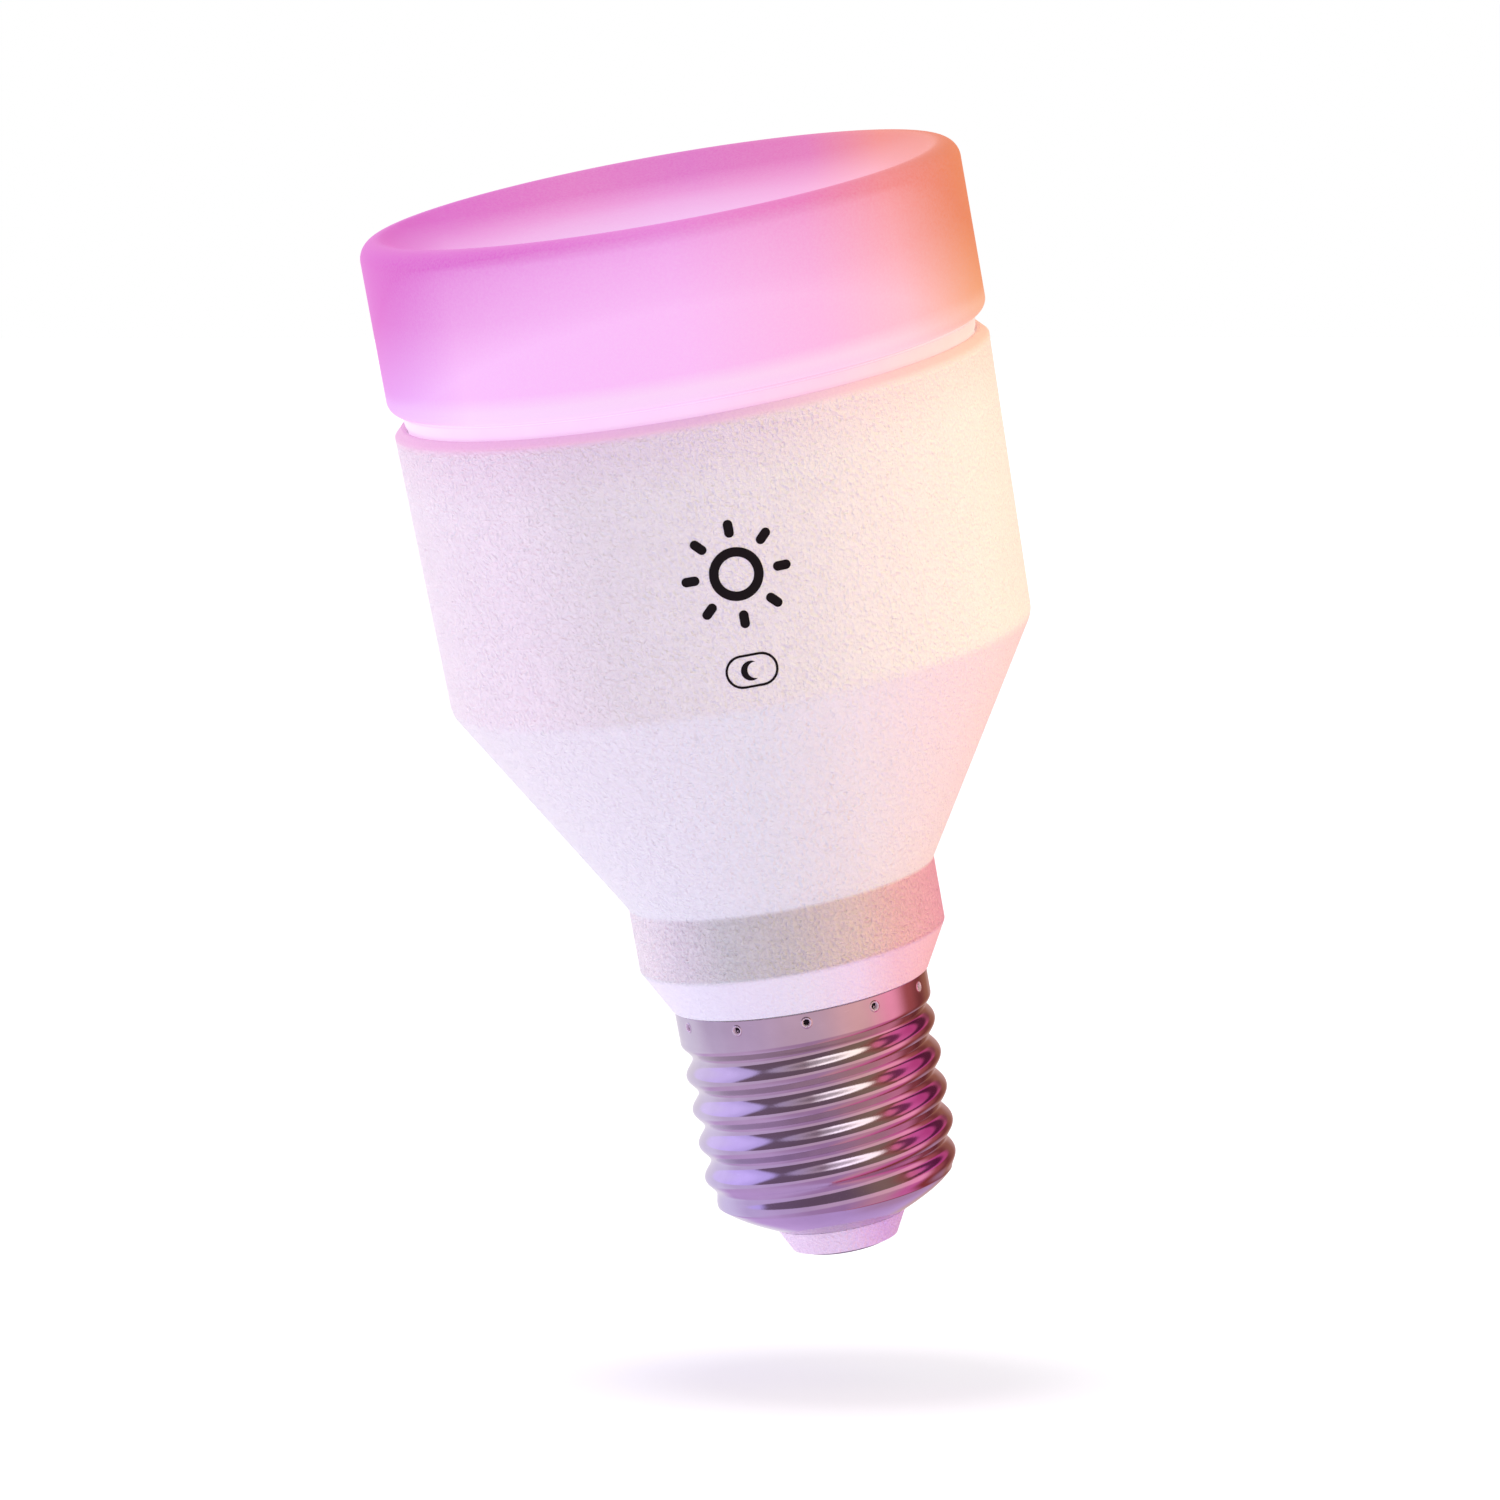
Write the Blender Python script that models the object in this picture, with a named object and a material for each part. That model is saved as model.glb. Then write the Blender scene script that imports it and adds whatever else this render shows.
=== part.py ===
"""Smart light bulb with an E27 screw cap, built up from its separate pieces.

The frame: +Z runs up the bulb's axis from the cap to the diffuser, the origin is the middle of the
centre contact's flat face, and -Y is the side that carries the printed marks. The sizes below are in
millimetres, and each builder turns them into metres once, with MM.
"""

import math

import bmesh
import bpy
from mathutils import Matrix, Vector

MM = 0.001
GAP = 0.3

# Edison screw cap, E27
PITCH = 3.629
CREST_RADIUS = 13.15
ROOT_RADIUS = 12.2
CREST_HEIGHT = 7.58
SHEET = 0.35
SKIRT_TOP = 27.5
SKIRT_BOTTOM = 24.8
THREAD_TOP = 23.2
THREAD_BOTTOM = 6.4
FADE_TOP = 9.2
FADE_BOTTOM = 5.2
LIP_RADIUS = 6.95
LIP_HEIGHT = 3.0
PUNCHES = 11
CAP_SEGMENTS = 28
PUNCH_HEIGHT = 26.45
PUNCH_RADIUS = 0.45
CONTACT_RADIUS = 4.9
CONTACT_THICKNESS = 0.6
CONTACT_PIN = 1.2
PIN_TOP = 8.0
INSULATOR_TOP = 7.0

# Housing
NECK_BOTTOM = 8.6
NECK_OUTSIDE = 11.5
NECK_INSIDE = 10.0
NECK_SHOULDER = 12.5
HOUSING_BOTTOM = SKIRT_TOP + GAP
COLLAR_BOTTOM = 32.15
COLLAR_TOP = 38.8
COLLAR_RADIUS = 15.9
BODY_BOTTOM = 62.2
BODY_TOP = 91.1
BODY_RADIUS_LOW = 30.05
BODY_RADIUS_HIGH = 30.65
CHAMFER = 0.8
BORE_RADIUS = 29.5
LEDGE_HEIGHT = 84.2
BODY_INSIDE = 28.6
COLLAR_INSIDE = 13.75
HOUSING_TOP = BODY_TOP + CHAMFER

# Diffuser and the ring that it stands on
CUP_RADIUS = 30.85
CUP_WALL = 1.75
CUP_BOTTOM = 93.5
CUP_FILLET = 1.35
CUP_TOP = 111.25
RIM_ROUNDING = 1.95
DISH_EDGE_ANGLE = 30.4
RING_INSIDE = 27.5
RING_OUTSIDE = 29.2
RING_BAND = 29.55
RING_BOTTOM = 86.4
RING_SHOULDER = CUP_BOTTOM - 0.25
RING_TOP = 96.2
SEAL_HEIGHT = 90.15
SEAL_THICKNESS = 0.76

# Heat sink and light engine
SINK_WALL = 1.2
SINK_TOP = 86.0
SINK_PLATE = 1.5
SINK_BOTTOM = 42.0
PAD_THICKNESS = 0.5
BOARD_BOTTOM = SINK_TOP + GAP + PAD_THICKNESS + GAP
BOARD_THICKNESS = 1.6
BOARD_TOP = BOARD_BOTTOM + BOARD_THICKNESS
BOARD_RADIUS = 27.2
LED_SEAT = BOARD_TOP + GAP
COLOUR_LEDS = 8
COLOUR_LED_CIRCLE = 20.5
COLOUR_LED_SIDE = 5.0
INFRARED_LEDS = 4
INFRARED_LED_CIRCLE = 10.5
INFRARED_LED_SIDE = 3.5
SCREWS = 3
SCREW_CIRCLE = 14.5
SCREW_HEAD = 2.1
SCREW_SHANK = 0.95
SCREW_HOLE = 1.25
WIRE_PLACE = 13.0
WIRE_RADIUS = 0.5

# Driver electronics
DRIVER_THICKNESS = 1.6
DRIVER_FACE = DRIVER_THICKNESS / 2 + GAP
DRIVER_BOTTOM = 10.2
DRIVER_TOP = 79.0
DRIVER_NARROW = 8.4
DRIVER_WIDE = 19.5
MODULE_WIDTH = 18.0
MODULE_THICKNESS = 1.0
MODULE_BOTTOM = 80.3
MODULE_TOP = 98.8
SLEEVE_TOP = 84.0
SLEEVE_WALL = 0.55

FINE = 40
COARSE = 18
SMALL = 10

# colour, roughness, metallic
LOOKS = {
    "frosted_diffuser": ((0.90, 0.45, 0.80), 0.45, 0.0),
    "neck_plastic": ((0.95, 0.75, 0.90), 0.40, 0.0),
    "seal_rubber": ((0.60, 0.58, 0.62), 0.70, 0.0),
    "housing_plastic": ((0.86, 0.83, 0.87), 0.60, 0.0),
    "heat_sink_metal": ((0.70, 0.71, 0.73), 0.35, 1.0),
    "thermal_silicone": ((0.45, 0.55, 0.62), 0.80, 0.0),
    "led_board_mask": ((0.92, 0.92, 0.90), 0.40, 0.0),
    "led_colour_package": ((0.90, 0.88, 0.75), 0.30, 0.0),
    "led_infrared_package": ((0.10, 0.08, 0.10), 0.20, 0.0),
    "screw_steel": ((0.60, 0.60, 0.62), 0.30, 1.0),
    "driver_board_mask": ((0.05, 0.25, 0.12), 0.40, 0.0),
    "sleeve_film": ((0.80, 0.78, 0.70), 0.50, 0.0),
    "capacitor_sleeve": ((0.03, 0.04, 0.10), 0.30, 0.0),
    "ferrite": ((0.06, 0.06, 0.07), 0.60, 0.0),
    "winding_tape": ((0.75, 0.60, 0.10), 0.50, 0.0),
    "component_epoxy": ((0.03, 0.03, 0.03), 0.50, 0.0),
    "resistor_coating": ((0.20, 0.45, 0.50), 0.50, 0.0),
    "film_case": ((0.80, 0.65, 0.10), 0.45, 0.0),
    "varistor_coating": ((0.10, 0.20, 0.60), 0.45, 0.0),
    "header_plastic": ((0.02, 0.02, 0.02), 0.50, 0.0),
    "module_mask": ((0.02, 0.06, 0.16), 0.40, 0.0),
    "shield_metal": ((0.75, 0.75, 0.75), 0.25, 1.0),
    "cap_nickel": ((0.78, 0.72, 0.78), 0.22, 1.0),
    "insulator_plastic": ((0.85, 0.65, 0.90), 0.45, 0.0),
    "contact_metal": ((0.55, 0.52, 0.52), 0.30, 1.0),
    "wire_red": ((0.60, 0.03, 0.03), 0.45, 0.0),
    "wire_blue": ((0.03, 0.10, 0.50), 0.45, 0.0),
    "wire_black": ((0.02, 0.02, 0.02), 0.45, 0.0),
}


def clear_scene():
    for obj in list(bpy.data.objects):
        bpy.data.objects.remove(obj, do_unlink=True)


def material(name):
    """The Principled material of this look, made on first use."""
    found = bpy.data.materials.get(name)
    if found:
        return found
    colour, roughness, metallic = LOOKS[name]
    made = bpy.data.materials.new(name)
    made.use_nodes = True
    shader = made.node_tree.nodes["Principled BSDF"]
    shader.inputs["Base Color"].default_value = (*colour, 1.0)
    shader.inputs["Roughness"].default_value = roughness
    shader.inputs["Metallic"].default_value = metallic
    made.diffuse_color = (*colour, 1.0)
    return made


def add_object(name, mesh, location=(0, 0, 0), turn=0.0, parent=None):
    """Puts a mesh in the scene at a place in millimetres, turned about Z by an angle in degrees."""
    obj = bpy.data.objects.new(name, mesh)
    bpy.context.scene.collection.objects.link(obj)
    obj.location = Vector(location) * MM
    obj.rotation_euler = (0, 0, math.radians(turn))
    obj.parent = parent
    return obj


def finish_mesh(name, bm, look, smooth_angle=35):
    """Closes a bmesh into a mesh in metres, with outward faces and smooth round sides."""
    bmesh.ops.remove_doubles(bm, verts=bm.verts, dist=1e-4)
    bmesh.ops.recalc_face_normals(bm, faces=bm.faces)
    bmesh.ops.scale(bm, vec=(MM, MM, MM), verts=bm.verts)
    mesh = bpy.data.meshes.new(name)
    bm.to_mesh(mesh)
    bm.free()
    mesh.shade_smooth()
    mesh.set_sharp_from_angle(angle=math.radians(smooth_angle))
    if look:
        mesh.materials.append(material(look))
    return mesh


def arc(centre, radius, start, end, steps):
    """Points on an arc in the radius-height plane, from one angle to the other, in degrees."""
    turns = [start + (end - start) * i / steps for i in range(steps + 1)]
    return [
        (centre[0] + radius * math.cos(math.radians(a)), centre[1] + radius * math.sin(math.radians(a)))
        for a in turns
    ]


def turned_mesh(name, outline, look, segments=FINE):
    """A solid of revolution about Z. The outline is a closed loop, or an open one that ends on the axis."""
    bm = bmesh.new()
    points = [bm.verts.new((radius, 0, height)) for radius, height in outline]
    edges = [bm.edges.new(pair) for pair in zip(points, points[1:])]
    if outline[0][0] > 0:
        edges.append(bm.edges.new((points[-1], points[0])))
    bmesh.ops.spin(
        bm, geom=points + edges, cent=(0, 0, 0), axis=(0, 0, 1), angle=math.tau, steps=segments,
        use_merge=True,
    )
    return finish_mesh(name, bm, look)


def turned(name, outline, look, segments=FINE, location=(0, 0, 0)):
    return add_object(name, turned_mesh(name, outline, look, segments), location)


def prism_mesh(name, outline, thickness, look):
    """An outline in the XZ plane made solid along Y, half of its thickness to each side."""
    bm = bmesh.new()
    near = bm.faces.new([bm.verts.new((x, -thickness / 2, z)) for x, z in outline])
    far = bmesh.ops.extrude_face_region(bm, geom=[near])["geom"]
    corners = [item for item in far if isinstance(item, bmesh.types.BMVert)]
    bmesh.ops.translate(bm, vec=(0, thickness, 0), verts=corners)
    return finish_mesh(name, bm, look)


def block_mesh(name, size, look, rounding=0.0):
    """A block standing on the origin, with its upright and top edges rounded off."""
    bm = bmesh.new()
    bmesh.ops.create_cube(bm, size=1)
    bmesh.ops.scale(bm, vec=size, verts=bm.verts)
    bmesh.ops.translate(bm, vec=(0, 0, size[2] / 2), verts=bm.verts)
    if rounding:
        kept = [edge for edge in bm.edges if max(v.co.z for v in edge.verts) > size[2] / 2]
        bmesh.ops.bevel(bm, geom=kept, offset=rounding, segments=1, affect="EDGES", profile=0.5)
    return finish_mesh(name, bm, look, smooth_angle=20)


def drum_outline(radius, height, rounding):
    """Half section of an upright cylinder with rounded ends, standing on the origin."""
    lower = arc((radius - rounding, rounding), rounding, -90, 0, 2)
    upper = arc((radius - rounding, height - rounding), rounding, 0, 90, 2)
    return [(0, 0)] + lower + upper + [(0, height)]


def tube(name, points, radius, look):
    """A wire along a smooth line through the given points."""
    curve = bpy.data.curves.new(name, "CURVE")
    curve.dimensions = "3D"
    curve.bevel_depth = radius * MM
    curve.bevel_resolution = 1
    curve.use_fill_caps = True
    spline = curve.splines.new("POLY")
    path = smooth_path(points, 3)
    spline.points.add(len(path) - 1)
    for target, point in zip(spline.points, path):
        target.co = (*(point * MM), 1.0)
    curve.materials.append(material(look))
    return add_object(name, curve)


def smooth_path(points, steps):
    """Points read from a Catmull-Rom curve through the given ones."""
    knots = [Vector(p) for p in points]
    knots = [2 * knots[0] - knots[1]] + knots + [2 * knots[-1] - knots[-2]]
    path = []
    for a, b, c, d in zip(knots, knots[1:], knots[2:], knots[3:]):
        for i in range(steps):
            t = i / steps
            path.append(
                0.5 * ((2 * b) + (c - a) * t + (2 * a - 5 * b + 4 * c - d) * t**2
                       + (3 * b - a - 3 * c + d) * t**3)
            )
    return path + [knots[-2]]


def cut(obj, cutter, name="cut"):
    """Takes the cutter's shape out of an object."""
    modifier = obj.modifiers.new(name, "BOOLEAN")
    modifier.operation = "DIFFERENCE"
    modifier.solver = "EXACT"
    modifier.object = cutter


def hide(cutter):
    cutter.hide_render = True
    cutter.display_type = "WIRE"
    return cutter


def baked(obj):
    """The object's mesh with its modifiers in it. The object goes."""
    graph = bpy.context.evaluated_depsgraph_get()
    mesh = bpy.data.meshes.new_from_object(obj.evaluated_get(graph))
    bpy.data.objects.remove(obj, do_unlink=True)
    return mesh


def around(count, first=0.0):
    """Evenly spaced angles round the axis, in degrees."""
    return [first + 360 * i / count for i in range(count)]


def on_circle(radius, angle, height):
    return (radius * math.cos(math.radians(angle)), radius * math.sin(math.radians(angle)), height)


def ease(value, low, high):
    """0 at low and 1 at high, with a smooth run between."""
    t = min(max((value - low) / (high - low), 0.0), 1.0)
    return t * t * (3 - 2 * t)


# Cap


def thread_radius(height, angle):
    """Outside radius of the pressed right-hand thread. It fades into the skirt above and the bowl below."""
    wave = 0.5 + 0.5 * math.cos(math.tau * ((height - CREST_HEIGHT) / PITCH - angle / math.tau))
    depth = (CREST_RADIUS - ROOT_RADIUS) * ease(height, FADE_BOTTOM, FADE_TOP)
    radius = ROOT_RADIUS + depth * wave
    return radius + (CREST_RADIUS - radius) * ease(height, THREAD_TOP, SKIRT_BOTTOM)


def shell_levels():
    """Heights of the shell's rows, from the skirt's top edge down to the end of the thread."""
    rows = round((SKIRT_BOTTOM - THREAD_BOTTOM) / PITCH * 5)
    step = (SKIRT_BOTTOM - THREAD_BOTTOM) / rows
    return [SKIRT_TOP] + [SKIRT_BOTTOM - step * i for i in range(rows + 1)]


def bowl(offset):
    """The shell's pressed bottom, as (radius, height), this far inside its outer face."""
    outside = [(11.95, 5.95), (10.3, 4.8), (8.5, 3.7)]
    lean = math.radians(57)
    inside = [(r - offset * math.cos(lean), z + offset * math.sin(lean)) for r, z in outside]
    return inside + [(LIP_RADIUS, LIP_HEIGHT + offset)]


def make_screw_shell():
    """The pressed sheet: a skirt, the thread and the bowl, with the insulator's hole in its middle."""
    segments = CAP_SEGMENTS
    bm = bmesh.new()
    rows = []
    for offset in (0, SHEET):
        side = []
        for height in shell_levels():
            side.append([(thread_radius(height, math.tau * i / segments) - offset, height)
                         for i in range(segments)])
        side += [[point] * segments for point in bowl(offset)]
        rows += side if offset == 0 else side[::-1]
    rings = []
    for row in rows:
        ring = []
        for i, (radius, height) in enumerate(row):
            angle = math.tau * i / segments
            ring.append(bm.verts.new((radius * math.cos(angle), radius * math.sin(angle), height)))
        rings.append(ring)
    for upper, lower in zip(rings, rings[1:] + rings[:1]):
        for i in range(segments):
            j = (i + 1) % segments
            bm.faces.new((upper[i], upper[j], lower[j], lower[i]))
    shell = add_object("screw_shell", finish_mesh("screw_shell", bm, "cap_nickel", 60))
    cut(shell, make_punch_cutter(), "punch_marks")
    return shell


def make_punch_cutter():
    """Small cones round the skirt, whose tips press the sheet where it is staked to the housing's neck."""
    bm = bmesh.new()
    depth = 0.6
    for angle in around(PUNCHES, -90):
        place = Matrix.Rotation(math.radians(angle), 4, "Z") @ Matrix.Translation(
            (CREST_RADIUS + 0.1, 0, PUNCH_HEIGHT)
        )
        bmesh.ops.create_cone(
            bm, cap_ends=True, segments=8, radius1=PUNCH_RADIUS * 0.2, radius2=PUNCH_RADIUS * 1.6,
            depth=depth, matrix=place @ Matrix.Rotation(math.pi / 2, 4, "Y"),
        )
    return hide(add_object("punch_cutter", finish_mesh("punch_cutter", bm, None)))


def make_cap_insulator():
    """The plastic cone under the shell, with a flange inside the bowl and a seat for the contact."""
    seat = CONTACT_THICKNESS + GAP
    outline = [
        (CONTACT_PIN + GAP, seat),
        (CONTACT_RADIUS + GAP, seat),
        (CONTACT_RADIUS + GAP, 0.35),
        (CONTACT_RADIUS + 0.6, 0.4),
        (LIP_RADIUS - 0.15, LIP_HEIGHT - 0.1),
        (LIP_RADIUS - GAP, LIP_HEIGHT + 0.1),
        (LIP_RADIUS - GAP, LIP_HEIGHT + SHEET + 0.25),
        (10.3, INSULATOR_TOP - 1.0),
        (10.3, INSULATOR_TOP),
        (4.0, INSULATOR_TOP),
        (3.4, INSULATOR_TOP - 1.6),
        (CONTACT_PIN + GAP, INSULATOR_TOP - 1.6),
    ]
    return turned("cap_insulator", outline, "insulator_plastic", CAP_SEGMENTS)


def make_centre_contact():
    """The contact: a disc with a pin that takes the live wire."""
    outline = [(0, 0), (CONTACT_RADIUS - 0.5, 0)]
    outline += [(CONTACT_RADIUS, 0.3), (CONTACT_RADIUS, CONTACT_THICKNESS)]
    outline += [(CONTACT_PIN, CONTACT_THICKNESS), (CONTACT_PIN, PIN_TOP - 0.3), (CONTACT_PIN - 0.3, PIN_TOP)]
    outline += [(0, PIN_TOP)]
    return turned("centre_contact", outline, "contact_metal", COARSE)


# Housing, seal and diffuser


def make_housing():
    """The white shell: neck for the cap, lower cone, collar, cone, tapered body and chamfered mouth."""
    outside = [
        (NECK_OUTSIDE, NECK_BOTTOM),
        (NECK_OUTSIDE, THREAD_TOP + 0.4),
        (NECK_SHOULDER, SKIRT_BOTTOM),
        (NECK_SHOULDER, HOUSING_BOTTOM),
        (CREST_RADIUS + 0.25, HOUSING_BOTTOM),
        (COLLAR_RADIUS, COLLAR_BOTTOM),
        (COLLAR_RADIUS, COLLAR_TOP),
        (BODY_RADIUS_LOW, BODY_BOTTOM),
        (BODY_RADIUS_HIGH, BODY_TOP),
        (BODY_RADIUS_HIGH - CHAMFER, HOUSING_TOP),
    ]
    groove = [
        (BORE_RADIUS, HOUSING_TOP),
        (BORE_RADIUS, 88.9),
        (BORE_RADIUS + 0.45, 88.6),
        (BORE_RADIUS + 0.45, 87.3),
        (BORE_RADIUS, 87.0),
    ]
    inside = [
        (BORE_RADIUS, LEDGE_HEIGHT),
        (BODY_INSIDE, LEDGE_HEIGHT),
        (BODY_INSIDE, BODY_BOTTOM + 1.1),
        (COLLAR_INSIDE, COLLAR_TOP - 0.4),
        (COLLAR_INSIDE, COLLAR_BOTTOM + 1.0),
        (NECK_INSIDE, 29.0),
        (NECK_INSIDE, NECK_BOTTOM),
    ]
    return turned("housing", outside + groove + inside, "housing_plastic")


def make_neck_ring():
    """The translucent ring that snaps into the housing's mouth and carries the diffuser."""
    outline = [
        (RING_OUTSIDE, RING_BOTTOM),
        (RING_OUTSIDE, 87.4),
        (RING_OUTSIDE + 0.4, 87.75),
        (RING_OUTSIDE + 0.4, 88.15),
        (RING_OUTSIDE, 88.5),
        (RING_OUTSIDE, SEAL_HEIGHT - 0.55),
        (RING_OUTSIDE - 0.8, SEAL_HEIGHT - 0.55),
        (RING_OUTSIDE - 0.8, SEAL_HEIGHT + 0.55),
        (RING_OUTSIDE, SEAL_HEIGHT + 0.55),
        (RING_OUTSIDE, HOUSING_TOP - 0.2),
        (RING_BAND - 0.15, HOUSING_TOP + 0.25),
        (RING_BAND, RING_SHOULDER),
        (CUP_RADIUS - CUP_WALL - GAP, RING_SHOULDER),
        (CUP_RADIUS - CUP_WALL - GAP, RING_TOP),
        (RING_INSIDE, RING_TOP),
        (RING_INSIDE, RING_BOTTOM),
    ]
    return turned("neck_ring", outline, "neck_plastic")


def make_seal_ring():
    """The soft ring in the neck ring's groove, between it and the housing's bore."""
    section = arc((RING_OUTSIDE - 0.33, SEAL_HEIGHT), SEAL_THICKNESS / 2, 0, 300, 5)
    return turned("seal_ring", section, "seal_rubber", FINE)


def make_diffuser():
    """The frosted cup: a straight wall with a rounded foot and rim, closed by a shallow dish on top."""
    rim_centre = (CUP_RADIUS - RIM_ROUNDING, CUP_TOP - RIM_ROUNDING)
    foot = arc((CUP_RADIUS - CUP_FILLET, CUP_BOTTOM + CUP_FILLET), CUP_FILLET, -90, 0, 4)
    rim = arc(rim_centre, RIM_ROUNDING, 0, 90 + DISH_EDGE_ANGLE, 7)
    edge_radius, edge_height = rim[-1]
    dish_radius = edge_radius / math.sin(math.radians(DISH_EDGE_ANGLE))
    dish_centre = (0, edge_height + dish_radius * math.cos(math.radians(DISH_EDGE_ANGLE)))
    dish = arc(dish_centre, dish_radius, DISH_EDGE_ANGLE - 90, -90, 7)[1:]
    underside = arc(dish_centre, dish_radius + CUP_WALL, -90, DISH_EDGE_ANGLE - 90, 5)
    inner_wall = [
        (CUP_RADIUS - CUP_WALL, rim_centre[1]),
        (CUP_RADIUS - CUP_WALL, CUP_BOTTOM),
    ]
    outline = dish[::-1] + rim[::-1] + foot[::-1] + inner_wall[::-1] + underside[::-1]
    return turned("diffuser", [(max(r, 0), z) for r, z in outline], "frosted_diffuser")


# Heat sink and light engine


def make_heat_sink():
    """The pressed aluminium cup, mouth down, whose closed top carries the LED board."""
    slope = (BODY_INSIDE - COLLAR_INSIDE) / (BODY_BOTTOM + 1.1 - COLLAR_TOP + 0.4)
    foot = BODY_INSIDE - slope * (BODY_BOTTOM + 1.1 - SINK_BOTTOM) - 0.35
    side = BODY_INSIDE - GAP
    outline = [
        (0, SINK_TOP),
        (RING_OUTSIDE, SINK_TOP),
        (RING_OUTSIDE, LEDGE_HEIGHT + GAP),
        (side, LEDGE_HEIGHT + GAP),
        (side, BODY_BOTTOM + 1.0),
        (foot, SINK_BOTTOM),
        (foot - SINK_WALL - 0.15, SINK_BOTTOM),
        (side - SINK_WALL, BODY_BOTTOM + 1.5),
        (side - SINK_WALL, SINK_TOP - SINK_PLATE),
        (0, SINK_TOP - SINK_PLATE),
    ]
    return turned("heat_sink", outline, "heat_sink_metal")


def disc_outline(radius, low, high):
    return [(0, low), (radius, low), (radius, high), (0, high)]


def make_board_cutter():
    """The openings that the sink, the pad and the board share: the module's slot, screws and wires."""
    bm = bmesh.new()
    height = BOARD_TOP - SINK_TOP + SINK_PLATE + 6
    middle = (SINK_TOP + BOARD_TOP) / 2
    slot = Matrix.Translation((0, 0, middle)) @ Matrix.Diagonal((MODULE_WIDTH + 1.5, 2.2, height, 1))
    bmesh.ops.create_cube(bm, size=1, matrix=slot)
    places = [on_circle(SCREW_CIRCLE, angle, middle) for angle in around(SCREWS, 90)]
    places += [(-WIRE_PLACE, 0, middle), (WIRE_PLACE, 0, middle)]
    for place in places:
        bmesh.ops.create_cone(
            bm, cap_ends=True, segments=SMALL, radius1=SCREW_HOLE, radius2=SCREW_HOLE, depth=height,
            matrix=Matrix.Translation(place),
        )
    return hide(add_object("board_cutter", finish_mesh("board_cutter", bm, None)))


def led_mesh(name, side, height, window, look):
    """A square package with a round light window sunk into its top."""
    bm = bmesh.new()
    bmesh.ops.create_cube(bm, size=1)
    bmesh.ops.scale(bm, vec=(side, side, height), verts=bm.verts)
    bmesh.ops.translate(bm, vec=(0, 0, height / 2), verts=bm.verts)
    bm.faces.ensure_lookup_table()
    top = max(bm.faces, key=lambda face: face.calc_center_median().z)
    bmesh.ops.inset_region(bm, faces=[top], thickness=(side - window) / 2)
    bmesh.ops.translate(bm, vec=(0, 0, -0.2), verts=top.verts)
    bmesh.ops.scale(
        bm, vec=(0.85, 0.85, 1), verts=top.verts, space=Matrix.Translation((0, 0, -height))
    )
    return finish_mesh(name, bm, look, smooth_angle=20)


def make_leds(holder):
    colour = led_mesh("led_colour", COLOUR_LED_SIDE, 1.5, 4.0, "led_colour_package")
    for i, angle in enumerate(around(COLOUR_LEDS, 22.5), 1):
        place = on_circle(COLOUR_LED_CIRCLE, angle, LED_SEAT)
        add_object(f"led_colour_{i}", colour, place, angle, holder)
    infrared = led_mesh("led_infrared", INFRARED_LED_SIDE, 1.2, 2.8, "led_infrared_package")
    for i, angle in enumerate(around(INFRARED_LEDS, 45), 1):
        place = on_circle(INFRARED_LED_CIRCLE, angle, LED_SEAT)
        add_object(f"led_infrared_{i}", infrared, place, angle, holder)


def make_board_screws(holder):
    """Pan-head screws with a cross recess, through the board and the pad into the sink."""
    length = LED_SEAT - SINK_TOP + SINK_PLATE + 1.5
    outline = [
        (0, -length),
        (SCREW_SHANK - 0.3, -length),
        (SCREW_SHANK, 0.4 - length),
        (SCREW_SHANK, 0),
        (SCREW_HEAD, 0),
        (SCREW_HEAD, 0.5),
        (SCREW_HEAD - 0.6, 1.25),
        (0, 1.45),
    ]
    blank = add_object("screw_blank", turned_mesh("screw_blank", outline, "screw_steel", SMALL))
    bm = bmesh.new()
    for size in ((2.2, 0.45, 1.2, 1), (0.45, 2.2, 1.2, 1)):
        bmesh.ops.create_cube(bm, size=1, matrix=Matrix.Translation((0, 0, 1.4)) @ Matrix.Diagonal(size))
    recess = hide(add_object("recess_cutter", finish_mesh("recess_cutter", bm, None)))
    cut(blank, recess, "cross_recess")
    blank.modifiers["cross_recess"].use_self = True
    mesh = baked(blank)
    bpy.data.objects.remove(recess, do_unlink=True)
    for i, angle in enumerate(around(SCREWS, 90), 1):
        add_object(f"board_screw_{i}", mesh, on_circle(SCREW_CIRCLE, angle, LED_SEAT), angle, holder)


def make_light_engine():
    cutter = make_board_cutter()
    sink = make_heat_sink()
    pad_low = SINK_TOP + GAP
    pad = turned("thermal_pad", disc_outline(24, pad_low, pad_low + PAD_THICKNESS), "thermal_silicone")
    board = turned("led_board", disc_outline(BOARD_RADIUS, BOARD_BOTTOM, BOARD_TOP), "led_board_mask")
    for piece in (sink, pad, board):
        cut(piece, cutter, "openings")
    make_leds(board)
    make_board_screws(board)


# Driver electronics


def make_driver_board():
    """The upright board: a narrow tail in the neck and a wide head under the heat sink."""
    right = [
        (DRIVER_NARROW, DRIVER_BOTTOM),
        (DRIVER_NARROW, 41.0),
        (DRIVER_WIDE, 58.0),
        (DRIVER_WIDE, DRIVER_TOP),
    ]
    outline = right + [(-x, z) for x, z in reversed(right)]
    return add_object(
        "driver_board", prism_mesh("driver_board", outline, DRIVER_THICKNESS, "driver_board_mask")
    )


def make_insulating_sleeve():
    """The thin plastic liner between the driver and the metal heat sink."""
    outline = [
        (26.75, SLEEVE_TOP),
        (26.75, BODY_BOTTOM + 1.8),
        (13.75, SINK_BOTTOM + 0.3),
        (13.75 - SLEEVE_WALL, SINK_BOTTOM + 0.3),
        (26.75 - SLEEVE_WALL, BODY_BOTTOM + 2.0),
        (26.75 - SLEEVE_WALL, SLEEVE_TOP),
    ]
    return turned("insulating_sleeve", outline, "sleeve_film")


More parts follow.
